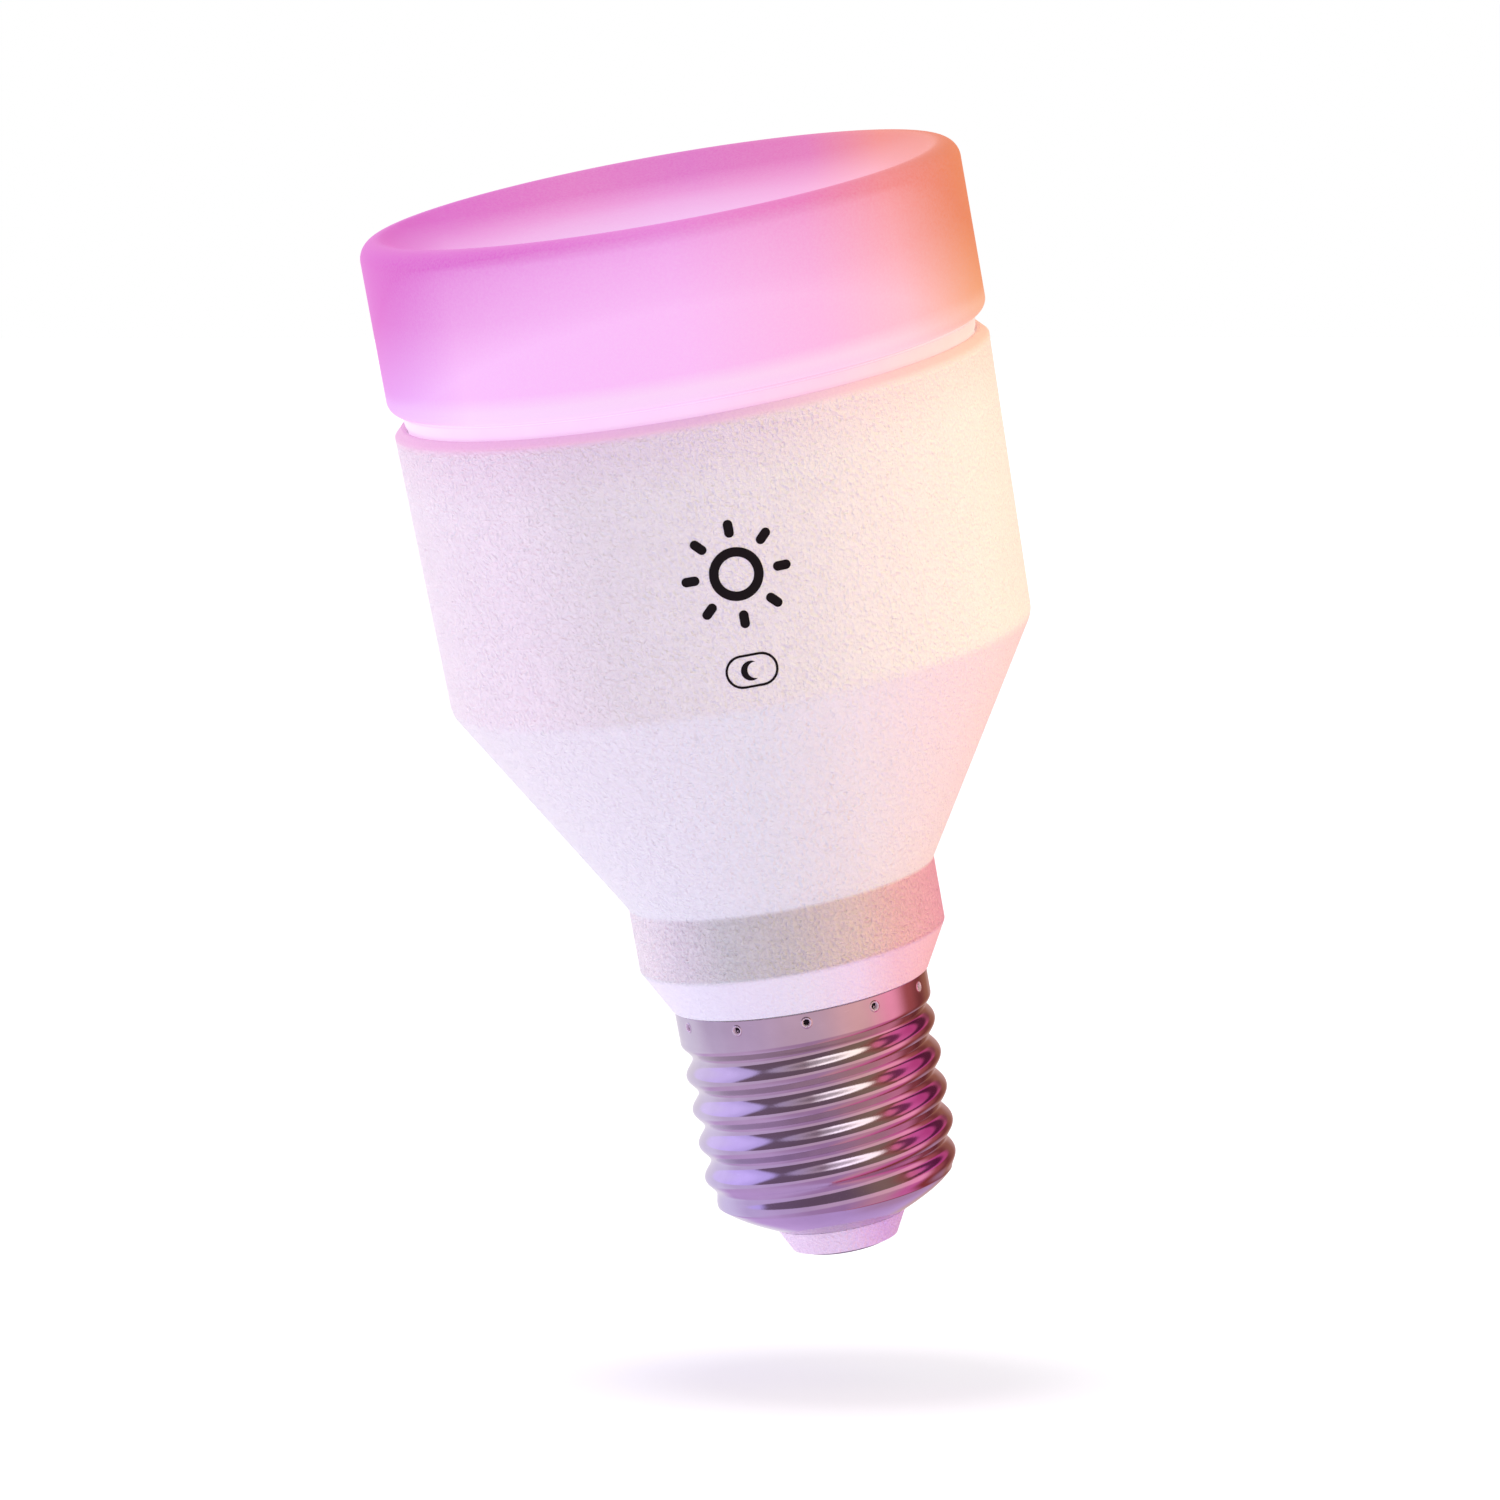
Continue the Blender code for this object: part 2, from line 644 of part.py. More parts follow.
def make_capacitors():
    """Two electrolytic cans with a crimp near the foot, a film capacitor and a disc varistor."""
    for name, radius, height, place in (
        ("input_capacitor", 4.0, 13.0, (0, DRIVER_FACE + 4.0, 14.0)),
        ("output_capacitor", 5.0, 14.0, (11.5, DRIVER_FACE + 5.0, 60.0)),
    ):
        crimp = [(radius, 1.6), (radius - 0.4, 2.0), (radius, 2.4)]
        outline = drum_outline(radius, height, 0.4)
        outline = outline[:4] + crimp + outline[4:]
        turned(name, outline, "capacitor_sleeve", COARSE, place)
    film = block_mesh("film_capacitor", (11.0, 4.6, 9.5), "film_case", 0.5)
    add_object("film_capacitor", film, (0, -DRIVER_FACE - 2.3, 30.5))
    disc = add_object(
        "varistor", turned_mesh("varistor", drum_outline(4.0, 3.4, 1.0), "varistor_coating", COARSE),
        (5.5, -DRIVER_FACE, 55.5),
    )
    disc.rotation_euler = (math.pi / 2, 0, 0)


def spool_outline(radius, core, height, cheek):
    """Half section of a drum choke: two cheeks and the winding between them."""
    return [
        (0, 0), (radius, 0), (radius, cheek), (core, cheek),
        (core, height - cheek), (radius, height - cheek), (radius, height), (0, height),
    ]


def make_inductors():
    """The mains choke in the collar and the buck inductor on the head of the board."""
    turned(
        "mains_choke", spool_outline(4.3, 3.5, 8.5, 1.2), "ferrite", COARSE,
        (0, DRIVER_FACE + 4.3, 30.0),
    )
    lying = turned("buck_inductor", spool_outline(4.5, 3.7, 7.0, 1.1), "ferrite", COARSE,
                   (-10.0, -DRIVER_FACE, 68.0))
    lying.rotation_euler = (math.pi / 2, 0, 0)


def make_transformer():
    """A ferrite frame round a taped winding."""
    width, depth, height = 15.0, 9.0, 14.0
    leg = 2.6
    place = (-7.5, DRIVER_FACE + 1.5 + depth / 2, 59.5)
    x, z = width / 2, height
    window = [(leg - x, leg), (x - leg, leg), (x - leg, z - leg), (leg - x, z - leg)]
    bm = bmesh.new()
    for y in (-depth / 2, depth / 2):
        outer = [bm.verts.new((a, y, b)) for a, b in ((-x, 0), (x, 0), (x, z), (-x, z))]
        inner = [bm.verts.new((a, y, b)) for a, b in window]
        for i in range(4):
            j = (i + 1) % 4
            bm.faces.new((outer[i], outer[j], inner[j], inner[i]))
    bm.verts.ensure_lookup_table()
    for first in (0, 4):
        near, far = bm.verts[first:first + 4], bm.verts[first + 8:first + 12]
        for i in range(4):
            j = (i + 1) % 4
            bm.faces.new((near[i], near[j], far[j], far[i]))
    add_object("transformer_core", finish_mesh("transformer_core", bm, "ferrite"), place)
    inside_core = (width - 2 * leg - 0.8, depth + 2.6, height - 2 * leg - 0.8)
    winding = block_mesh("transformer_winding", inside_core, "winding_tape", 0.8)
    add_object("transformer_winding", winding, (place[0], place[1], place[2] + leg + 0.4))


def make_small_parts():
    """The rectifier, the driver chip, the fuse resistor, the header, the radio module and its can."""
    rectifier = block_mesh("bridge_rectifier", (6.0, 2.4, 4.8), "component_epoxy", 0.3)
    add_object("bridge_rectifier", rectifier, (0, -DRIVER_FACE - 1.2, 45.0))
    chip = block_mesh("driver_chip", (5.0, 1.6, 4.0), "component_epoxy", 0.25)
    add_object("driver_chip", chip, (6.0, -DRIVER_FACE - 0.8, 66.0))
    turned("fuse_resistor", drum_outline(1.9, 9.5, 0.8), "resistor_coating", COARSE,
           (0, -DRIVER_FACE - 1.9, 15.0))
    header = block_mesh("module_header", (10.0, 2.5, 7.5), "header_plastic", 0.3)
    add_object("module_header", header, (0, DRIVER_FACE + 1.25, 75.3))
    x = MODULE_WIDTH / 2
    outline = [(-x, MODULE_BOTTOM), (x, MODULE_BOTTOM), (x, MODULE_TOP - 1), (x - 1, MODULE_TOP),
               (1 - x, MODULE_TOP), (-x, MODULE_TOP - 1)]
    module = prism_mesh("wifi_module", outline, MODULE_THICKNESS, "module_mask")
    add_object("wifi_module", module)
    can = block_mesh("wifi_shield", (12.5, 1.9, 7.2), "shield_metal", 0.3)
    add_object("wifi_shield", can, (0, -MODULE_THICKNESS / 2 - GAP - 0.95, 89.6))


def make_wires():
    """Live and neutral from the cap to the driver, and the pair from the driver to the LED board."""
    resistor = -DRIVER_FACE - 1.9
    tube("live_wire", [(0, 0, PIN_TOP + GAP), (0, -1.0, 9.4), (0, resistor + 0.1, 11.6), (0, resistor, 14.7)],
         WIRE_RADIUS, "wire_black")
    side = DRIVER_FACE + WIRE_RADIUS
    tube("neutral_wire", [(10.85, side, 7.8), (9.1, side, 8.7), (8.0, side, 11.0), (7.6, side, 14.5)],
         WIRE_RADIUS, "wire_blue")
    for name, sign, look in (("led_wire_negative", -1, "wire_black"), ("led_wire_positive", 1, "wire_red")):
        x = sign * WIRE_PLACE
        route = [(x, side, 75.4), (x, side, 79.5), (x, 0.3, 83.0), (x, 0, 86.0), (x, 0, 89.6),
                 (x + sign * 1.3, 0, 91.2), (x + sign * 3.0, 0, LED_SEAT + WIRE_RADIUS)]
        tube(name, route, WIRE_RADIUS, look)


def main():
    clear_scene()
    make_centre_contact()
    make_cap_insulator()
    make_screw_shell()
    make_housing()
    make_neck_ring()
    make_seal_ring()
    make_diffuser()
    make_light_engine()
    make_driver_board()
    make_insulating_sleeve()
    make_capacitors()
    make_inductors()
    make_transformer()
    make_small_parts()
    make_wires()


main()
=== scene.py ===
import math

import bmesh
import bpy
from mathutils import Matrix, Vector


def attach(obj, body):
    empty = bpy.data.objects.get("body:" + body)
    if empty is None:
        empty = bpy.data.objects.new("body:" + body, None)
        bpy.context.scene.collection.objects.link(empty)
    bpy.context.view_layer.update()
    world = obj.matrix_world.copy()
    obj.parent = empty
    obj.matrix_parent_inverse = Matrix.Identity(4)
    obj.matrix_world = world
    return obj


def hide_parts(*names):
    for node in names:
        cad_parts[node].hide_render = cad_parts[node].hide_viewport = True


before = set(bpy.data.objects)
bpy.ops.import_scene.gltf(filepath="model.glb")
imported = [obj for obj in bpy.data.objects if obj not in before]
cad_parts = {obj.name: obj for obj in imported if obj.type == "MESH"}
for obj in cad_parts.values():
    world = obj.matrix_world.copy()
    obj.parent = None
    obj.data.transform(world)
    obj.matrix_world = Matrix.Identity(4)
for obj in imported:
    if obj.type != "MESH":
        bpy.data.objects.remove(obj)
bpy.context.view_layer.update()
MM = 0.001
TAU = math.tau
ON_AXIS = 1e-6


# Outlines and turned pieces. Lengths are in millimetres until a mesh is made, and angles of arcs in degrees.


def rounded(outline, closed=True, steps=6):
    """The outline with an arc at each corner that carries a radius: points are (radius, height[, fillet])."""
    out = []
    count = len(outline)
    for i, (r, z, *fillet) in enumerate(outline):
        corner = Vector((r, z))
        if not fillet or (not closed and i in (0, count - 1)):
            out.append(corner)
            continue
        back = (Vector(outline[i - 1][:2]) - corner).normalized()
        ahead = (Vector(outline[(i + 1) % count][:2]) - corner).normalized()
        half = math.acos(max(-1.0, min(1.0, back.dot(ahead)))) / 2
        centre = corner + (back + ahead).normalized() * (fillet[0] / math.sin(half))
        start = corner + back * (fillet[0] / math.tan(half)) - centre
        end = corner + ahead * (fillet[0] / math.tan(half)) - centre
        first = math.atan2(start.y, start.x)
        sweep = (math.atan2(end.y, end.x) - first + math.pi) % TAU - math.pi
        for k in range(steps + 1):
            angle = first + sweep * k / steps
            out.append(centre + fillet[0] * Vector((math.cos(angle), math.sin(angle))))
    return out


def neighbours(items, closed):
    """Each item with the next one, and the last with the first where the row is closed."""
    return zip(items, items[1:] + items[:1]) if closed else zip(items, items[1:])


def refined(points, closed=True, margin=0.25, longest=2.5):
    """Adds points along the straight runs, close to their ends, so that shading stays flat there."""
    out = []
    for a, b in neighbours(points, closed):
        out.append(a)
        length = (b - a).length
        if length > 3 * margin:
            inner = length - 2 * margin
            steps = max(1, math.ceil(inner / longest))
            for k in range(steps + 1):
                out.append(a + (b - a) * ((margin + inner * k / steps) / length))
    if not closed:
        out.append(points[-1])
    return out


def arc(centre, radius, start, end, steps):
    """Points on an arc from one angle to the other."""
    points = []
    for k in range(steps + 1):
        angle = math.radians(start + (end - start) * k / steps)
        points.append(Vector((centre[0] + radius * math.cos(angle), centre[1] + radius * math.sin(angle))))
    return points


def mesh_piece(name, points, faces, material, smooth_angle=40):
    """A new object from points in millimetres, shaded smooth up to an angle in degrees."""
    mesh = bpy.data.meshes.new(name)
    mesh.from_pydata([Vector(p) * MM for p in points], [], faces)
    mesh.validate()
    mesh.materials.append(material)
    piece = bpy.data.objects.new(name, mesh)
    bpy.context.scene.collection.objects.link(piece)
    mesh.shade_smooth()
    mesh.set_sharp_from_angle(angle=math.radians(smooth_angle))
    return piece


def turned(name, outline, material, closed=True, segments=240):
    """A solid of revolution. The outline goes counter-clockwise seen with the radius to the right."""
    points, rings = [], []
    for p in outline:
        if p.x < ON_AXIS:
            rings.append([len(points)])
            points.append((0, 0, p.y))
            continue
        rings.append(list(range(len(points), len(points) + segments)))
        for i in range(segments):
            angle = TAU * i / segments
            points.append((p.x * math.cos(angle), p.x * math.sin(angle), p.y))
    faces = []
    for lower, upper in neighbours(rings, closed):
        if len(lower) == 1 and len(upper) == 1:
            continue
        for i in range(segments):
            j = (i + 1) % segments
            if len(lower) == 1:
                faces.append((lower[0], upper[j], upper[i]))
            elif len(upper) == 1:
                faces.append((lower[i], lower[j], upper[0]))
            else:
                faces.append((lower[i], lower[j], upper[j], upper[i]))
    return mesh_piece(name, points, faces, material)


# Materials


class Paint:
    """A Principled material, or the world, built from short calls.
    Textures are read in the part's own coordinates, in metres."""

    def __init__(self, name, tree=None, **plain):
        if tree is None:
            self.material = bpy.data.materials.new(name)
            self.material.use_nodes = True
            tree = self.material.node_tree
        self.tree = tree
        self.shader = tree.nodes.get("Principled BSDF")
        for key, value in plain.items():
            self.shader.inputs[key.replace("_", " ")].default_value = value
        self.place = tree.nodes.new("ShaderNodeTexCoord").outputs["Object"]

    def feed(self, socket, value):
        if isinstance(value, bpy.types.NodeSocket):
            self.tree.links.new(value, socket)
        elif value is not None:
            socket.default_value = value

    def node(self, kind, settings=(), **inputs):
        node = self.tree.nodes.new("ShaderNode" + kind)
        for key, value in dict(settings).items():
            setattr(node, key, value)
        for key, value in inputs.items():
            self.feed(node.inputs[key.replace("_", " ")], value)
        return node

    def to(self, **inputs):
        for key, value in inputs.items():
            self.feed(self.shader.inputs[key.replace("_", " ")], value)

    def stretched(self, x, y, z):
        node = self.node("Mapping", Vector=self.place)
        node.inputs["Scale"].default_value = (x, y, z)
        return node.outputs["Vector"]

    def noise(self, scale, detail=2.0, roughness=0.5, distortion=0.0, vector=None):
        node = self.node("TexNoise", Vector=vector or self.place, Scale=scale, Detail=detail,
                         Roughness=roughness, Distortion=distortion)
        return node.outputs["Fac"]

    def cells(self, scale, feature):
        node = self.node("TexVoronoi", {"feature": feature}, Vector=self.place, Scale=scale)
        return node.outputs["Distance"]

    def maths(self, operation, a, b=None, clamp=False):
        node = self.node("Math", {"operation": operation, "use_clamp": clamp})
        self.feed(node.inputs[0], a)
        self.feed(node.inputs[1], b)
        return node.outputs[0]

    def span(self, value, low, high, to_low=0.0, to_high=1.0, smooth=False):
        """The value's place between two limits, carried over to two others and held beyond them."""
        node = self.node("MapRange", {"interpolation_type": "SMOOTHSTEP" if smooth else "LINEAR"})
        self.feed(node.inputs["Value"], value)
        for key, number in (("From Min", low), ("From Max", high), ("To Min", to_low), ("To Max", to_high)):
            self.feed(node.inputs[key], number)
        return node.outputs["Result"]

    def span_mm(self, value, low, high, to_low=0.0, to_high=1.0):
        """The same for a coordinate between two limits in millimetres."""
        return self.span(value, low * MM, high * MM, to_low, to_high)

    def curve(self, value, stops, unit=1.0):
        """A value read off straight lines between (place, value) stops, with places in the given unit."""
        first, last = stops[0][0], stops[-1][0]
        least = min(v for _, v in stops)
        most = max(v for _, v in stops)
        places = [((at - first) / (last - first), [(v - least) / (most - least)] * 3) for at, v in stops]
        fac = self.ramp(self.span(value, first * unit, last * unit), places)
        return self.span(fac, 0.0, 1.0, least, most)

    def ramp(self, value, stops, mode="LINEAR"):
        """A colour read off (place, linear colour) stops, with places from 0 to 1."""
        node = self.node("ValToRGB", Fac=value)
        node.color_ramp.interpolation = mode
        elements = node.color_ramp.elements
        while len(elements) < len(stops):
            elements.new(0.5)
        for element, (place, colour) in zip(elements, sorted(stops, key=lambda stop: stop[0])):
            element.position = place
            element.color = (*colour, 1.0)
        return node.outputs["Color"]

    def product(self, *values):
        result = values[0]
        for value in values[1:]:
            result = self.maths("MULTIPLY", result, value)
        return result

    def choose(self, fac, a, b):
        """One of two values, by a factor of 0 or 1."""
        node = self.node("Mix", {"data_type": "FLOAT"})
        for index, value in ((0, fac), (2, a), (3, b)):
            self.feed(node.inputs[index], value)
        return node.outputs[0]

    def mix(self, fac, a, b, blend="MIX"):
        node = self.node("Mix", {"data_type": "RGBA", "blend_type": blend})
        self.feed(node.inputs[0], fac)
        for socket, colour in ((node.inputs[6], a), (node.inputs[7], b)):
            self.feed(socket, colour if isinstance(colour, bpy.types.NodeSocket) else (*colour, 1.0))
        return node.outputs[2]

    def axes(self, vector=None):
        node = self.node("SeparateXYZ", Vector=vector or self.place)
        return node.outputs["X"], node.outputs["Y"], node.outputs["Z"]

    def bump(self, height, strength, distance):
        """Relief, with its distance in millimetres."""
        return self.node("Bump", Height=height, Strength=strength, Distance=distance * MM).outputs["Normal"]


def srgb(r, g, b):
    """A linear colour from display values of 0 to 255."""
    return tuple(v / 255 / 12.92 if v <= 10.31 else ((v / 255 + 0.055) / 1.055) ** 2.4 for v in (r, g, b))


# Painted light and shade on the white plastic and on the insulator, from left to right: what the lit cup and
# its coloured surroundings cast, painted into the colour (millimetres from the middle, linear colour).

COLLAR_PAINTED_LIGHT = [(-15.9, (0.98, 0.98, 0.99)), (-14.4, (0.97, 0.97, 0.98)), (-11.2, (0.83, 0.84, 0.86)),
                (-6.7, (0.69, 0.74, 0.72)), (0.0, (0.71, 0.70, 0.68)), (6.7, (0.85, 0.71, 0.69)),
                (11.2, (0.88, 0.56, 0.62)), (15.9, (0.88, 0.43, 0.62))]
LOWER_PAINTED_LIGHT = [(-14.4, (0.88, 0.88, 0.92)), (-10.0, (0.82, 0.845, 0.895)), (-6.0, (0.815, 0.83, 0.885)),
               (0.0, (0.82, 0.85, 0.90)), (6.0, (0.855, 0.785, 0.94)), (10.0, (0.855, 0.63, 0.77)),
               (14.4, (0.89, 0.60, 0.69))]
BODY_PAINTED_SHADE = [(-30.6, (1.0, 1.0, 1.0)), (-21.5, (0.99, 0.985, 0.99)), (-12.9, (0.90, 0.93, 0.915)),
               (-6.0, (0.915, 0.95, 0.94)), (0.0, (0.945, 0.97, 0.97)), (12.9, (0.995, 1.0, 1.0)),
               (30.6, (1.0, 1.0, 1.0))]
CONE_PAINTED_LIGHT = [(-28.0, (0.97, 0.97, 0.97)), (-10.0, (0.905, 0.95, 0.96)), (0.0, (0.87, 0.95, 0.965)),
              (10.0, (0.94, 0.97, 0.98)), (20.0, (0.965, 0.90, 0.93)), (28.0, (0.97, 0.875, 0.865))]
LIP_PAINTED_GLOW = [(-30.2, (0.88, 0.65, 0.80)), (-20.0, (0.84, 0.60, 0.80)), (0.0, (0.79, 0.56, 0.81)),
             (13.0, (0.88, 0.62, 0.79)), (21.0, (0.94, 0.62, 0.69)), (30.2, (0.95, 0.65, 0.62))]
INSULATOR_PAINTED_LIGHT = [(-6.5, (0.92, 0.78, 0.94)), (-2.5, (0.86, 0.74, 0.88)), (0.0, (0.83, 0.73, 0.92)),
                   (2.5, (0.78, 0.60, 0.95)), (4.3, (0.69, 0.50, 0.96)), (6.5, (0.70, 0.51, 0.96))]

# How strongly the grain stands out at each height, as relief and as painted shade in its hollows.

GRAIN_RELIEF = [(27.0, 0.3), (32.0, 0.3), (32.3, 1.0), (38.6, 1.0), (39.2, 0.85), (61.8, 0.85),
                (62.6, 0.9), (90.5, 0.9), (91.2, 0.2), (92.5, 0.1)]
GRAIN_SHADE = [(27.0, 0.04), (32.0, 0.04), (32.3, 0.12), (38.6, 0.12), (39.0, 0.03), (61.8, 0.03),
               (62.6, 0.05), (90.5, 0.05), (91.2, 0.03), (92.5, 0.03)]

# Bands of height in which one zone of the housing passes into the next.

LOWER_EDGE = (32.0, 32.3)
COLLAR_EDGE = (38.6, 39.0)
CONE_EDGE = (61.8, 62.6)
# The lit cup's painted light on the housing: the band where it begins to show, and the lip where it is
# strongest.
GLOW_BAND = (85.0, 90.6)
LIP_EDGE = (90.6, 91.4)


def across(p, tones):
    """A colour read off from left to right: tones are (millimetres, linear colour)."""
    low, high = tones[0][0], tones[-1][0]
    share = p.span_mm(p.axes()[0], low, high)
    return p.ramp(share, [((at - low) / (high - low), tone) for at, tone in tones])


def housing_paint():
    """White moulded plastic with a leather-like grain, with painted light and shade zone by zone and in the
    grain.
    """
    p = Paint("housing_plastic_moulded", Roughness=0.52, Specular_IOR_Level=0.4)
    x, _, z = p.axes()
    grain = p.noise(3100, 3, 0.55, 0.1)
    pebbles = p.cells(2500, "SMOOTH_F1")
    height = p.maths("ADD", p.product(grain, 0.8), p.product(pebbles, 0.45))
    patches = p.span(p.noise(90, 2), 0.3, 0.7)
    tone = p.mix(patches, (0.975, 0.97, 0.975), (0.995, 0.99, 0.995))
    # Painted shade across the body's front, darkest a little left of the middle.
    tone = p.mix(1.0, tone, across(p, BODY_PAINTED_SHADE), "MULTIPLY")
    # Painted light and shade of the coloured room, zone by zone: the cone, the collar and the lower cone.
    for edge, tones in ((CONE_EDGE, CONE_PAINTED_LIGHT), (COLLAR_EDGE, COLLAR_PAINTED_LIGHT), (LOWER_EDGE, LOWER_PAINTED_LIGHT)):
        tone = p.mix(p.span_mm(z, *edge), across(p, tones), tone)
    # Painted light from the lit cup on the housing's top, strongest on the lip.
    painted_glow = p.maths("ADD", p.span_mm(z, *GLOW_BAND, 0.0, 0.3), p.span_mm(z, *LIP_EDGE, 0.0, 0.7))
    tone = p.mix(painted_glow, tone, across(p, LIP_PAINTED_GLOW))
    # Painted shade in the grain's hollows.
    hollows = p.span(grain, 0.35, 0.65, 1.0, 0.0)
    tone = p.mix(p.product(hollows, p.curve(z, GRAIN_SHADE, MM)), tone, (0, 0, 0))
    relief = p.product(p.curve(z, GRAIN_RELIEF, MM), p.span_mm(x, 6, 26, 1.0, 0.5))
    p.to(Base_Color=tone, Roughness=p.span(grain, 0.2, 0.8, 0.46, 0.62))
    p.to(Normal=p.bump(p.product(height, relief), 1.0, 0.6))
    return p.material


# The lit cup's colours from its left edge (0) to its right edge (1): in the rim, in the rim's back, and in
# the middle of the wall and the dish.

DEEP = [(0.0, srgb(217, 82, 196)), (0.14, srgb(222, 106, 208)), (0.5, srgb(228, 119, 214)),
        (0.72, srgb(234, 124, 194)), (0.86, srgb(241, 138, 144)), (1.0, srgb(233, 132, 72))]
BACK = [(0.0, srgb(217, 82, 196)), (0.14, srgb(222, 106, 208)), (0.36, srgb(226, 122, 203)),
        (0.56, srgb(221, 112, 199)), (0.76, srgb(225, 112, 182)), (0.88, srgb(239, 134, 118)),
        (1.0, srgb(233, 132, 72))]
PALE = [(0.0, srgb(230, 160, 245)), (0.14, srgb(253, 196, 254)), (0.5, srgb(255, 194, 252)),
        (0.72, srgb(253, 187, 234)), (0.86, srgb(254, 194, 210)), (1.0, srgb(248, 178, 118))]


# How far the colour has passed from deep to pale: by height on the wall, and by radius in the dish.

WALL_PALENESS = [(93.0, 1.3), (95.2, 1.1), (96.0, 0.9), (100.0, 0.55), (104.0, 0.2), (108.0, 0.0),
                 (109.3, -0.12), (110.6, -0.55), (111.5, -0.6)]
DISH_PALENESS = [(0.0, 1.0), (16.0, 0.95), (20.0, 0.75), (23.0, 0.48), (25.0, 0.25), (27.5, 0.05),
                 (30.0, 0.0)]
CUP_HALF = 30.9
CUP_RADIUS = 30.85
DISH_REACH = 28.8
BOWL_COLOUR = srgb(232, 208, 248)
FOOT_HIGHLIGHT_COLOUR = (1.0, 0.92, 1.0)
SHADOW_LINE_COLOUR = (0.52, 0.20, 0.38)


def diffuser_paint():
    """Frosted plastic lit from inside: deep in colour at the rim, pale low on the wall and in the dish, with
    a painted highlight on the foot and a painted shadow line below it.
    """
    p = Paint("frosted_diffuser_lit", Roughness=0.4, Specular_IOR_Level=0.35, Emission_Strength=0.72)
    x, y, z = p.axes()
    share = p.span_mm(x, -CUP_HALF, CUP_HALF)
    deep = p.mix(p.span_mm(y, 4, 16), p.ramp(share, DEEP), p.ramp(share, BACK))
    depth = p.maths("DIVIDE", p.maths("ABSOLUTE", y), CUP_RADIUS * MM)
    wall = p.maths("ADD", p.curve(z, WALL_PALENESS, MM), p.span(depth, 0.0, 1.0, -0.5, 0.7), clamp=True)
    radius = p.maths("SQRT", p.maths("ADD", p.product(x, x), p.product(y, y)))
    dish = p.maths("SUBTRACT", p.curve(radius, DISH_PALENESS, MM), p.span_mm(y, 8, 26, 0.0, 0.3), clamp=True)
    inner = p.maths("LESS_THAN", radius, DISH_REACH * MM)
    lit = p.mix(p.choose(inner, wall, dish), deep, p.ramp(share, PALE))
    bowl = p.product(inner, p.span(dish, 0.35, 1.0, 0.0, 0.5))
    bowl = p.product(bowl, p.span_mm(x, 4, 18, 1.0, 0.1), p.span_mm(x, -20, -10, 0.2, 1.0))
    lit = p.mix(bowl, lit, BOWL_COLOUR)
    # Painted highlight along the foot's curve, fading towards the sides.
    foot = p.span_mm(z, 96.5, 95.0, 0.0, 0.42)
    foot = p.product(foot, p.span_mm(x, 18, 29, 1.0, 0.3), p.span_mm(x, -30, -22, 0.3, 1.0))
    lit = p.mix(foot, lit, FOOT_HIGHLIGHT_COLOUR)
    # Painted shadow: a thin dark line at the foot's bottom edge by the neck ring, stronger towards the right.
    shadow_line = p.product(p.span_mm(z, 93.66, 93.52), p.span_mm(x, -12, 10, 0.0, 0.55))
    lit = p.mix(shadow_line, lit, SHADOW_LINE_COLOUR)
    speck = p.noise(4200, 2, 0.6)
    lit = p.mix(p.span(speck, 0.3, 0.7, 0.0, 0.10), lit, (1.0, 0.9, 1.0))
    p.to(Base_Color=p.mix(1.0, lit, (0.24, 0.24, 0.24), "MULTIPLY"), Emission_Color=lit)
    p.to(Roughness=p.span(speck, 0.3, 0.7, 0.36, 0.5), Normal=p.bump(speck, 0.12, 0.03))
    return p.material


NECK_COLOURS = [(0.0, srgb(249, 222, 251)), (0.15, srgb(252, 219, 252)), (0.5, srgb(252, 216, 249)),
                (0.72, srgb(253, 210, 234)), (0.86, srgb(254, 219, 220)), (1.0, srgb(252, 228, 216))]
NECK_HALF = 29.6


def neck_paint():
    """The paler translucent band under the cup, lit from inside."""
    p = Paint("neck_plastic_lit", Roughness=0.35, Emission_Strength=0.62)
    lit = p.ramp(p.span_mm(p.axes()[0], -NECK_HALF, NECK_HALF), NECK_COLOURS)
    cloud = p.noise(300, 2)
    lit = p.mix(p.span(cloud, 0.3, 0.7, 0.0, 0.12), lit, (1.0, 0.95, 1.0))
    p.to(Base_Color=p.mix(1.0, lit, (0.42, 0.42, 0.42), "MULTIPLY"), Emission_Color=lit)
    p.to(Roughness=p.span(cloud, 0.3, 0.7, 0.3, 0.42), Normal=p.bump(p.noise(3000, 2), 0.08, 0.03))
    return p.material


def nickel_paint():
    """Plated sheet: a satin polish with clouds and fine worn lines, and a painted reflection of the room,
    violet below and warm above.
    """
    p = Paint("cap_nickel_satin", Metallic=1.0, Roughness=0.16)
    cloud = p.noise(160, 3, 0.6)
    draw = p.noise(700, 3, 0.6, vector=p.stretched(1.0, 1.0, 9.0))
    tone = p.mix(p.span(cloud, 0.3, 0.7), (0.50, 0.46, 0.49), (0.58, 0.54, 0.57))
    # Painted reflection of the coloured room: violet low on the cap, warm high on it.
    painted_reflection_tint = p.mix(p.span_mm(p.axes()[2], 8, 22), (1.0, 0.93, 1.08), (1.04, 1.0, 0.96))
    tone = p.mix(1.0, tone, painted_reflection_tint, "MULTIPLY")
    tone = p.mix(p.span(draw, 0.62, 0.8, 0.0, 0.3), tone, (0.72, 0.68, 0.68))
    rough = p.maths("ADD", p.span(cloud, 0.3, 0.7, 0.065, 0.09), p.span(draw, 0.3, 0.7, 0.0, 0.04))
    p.to(Base_Color=tone, Roughness=rough, Normal=p.bump(p.noise(5200, 2), 0.10, 0.02))
    return p.material


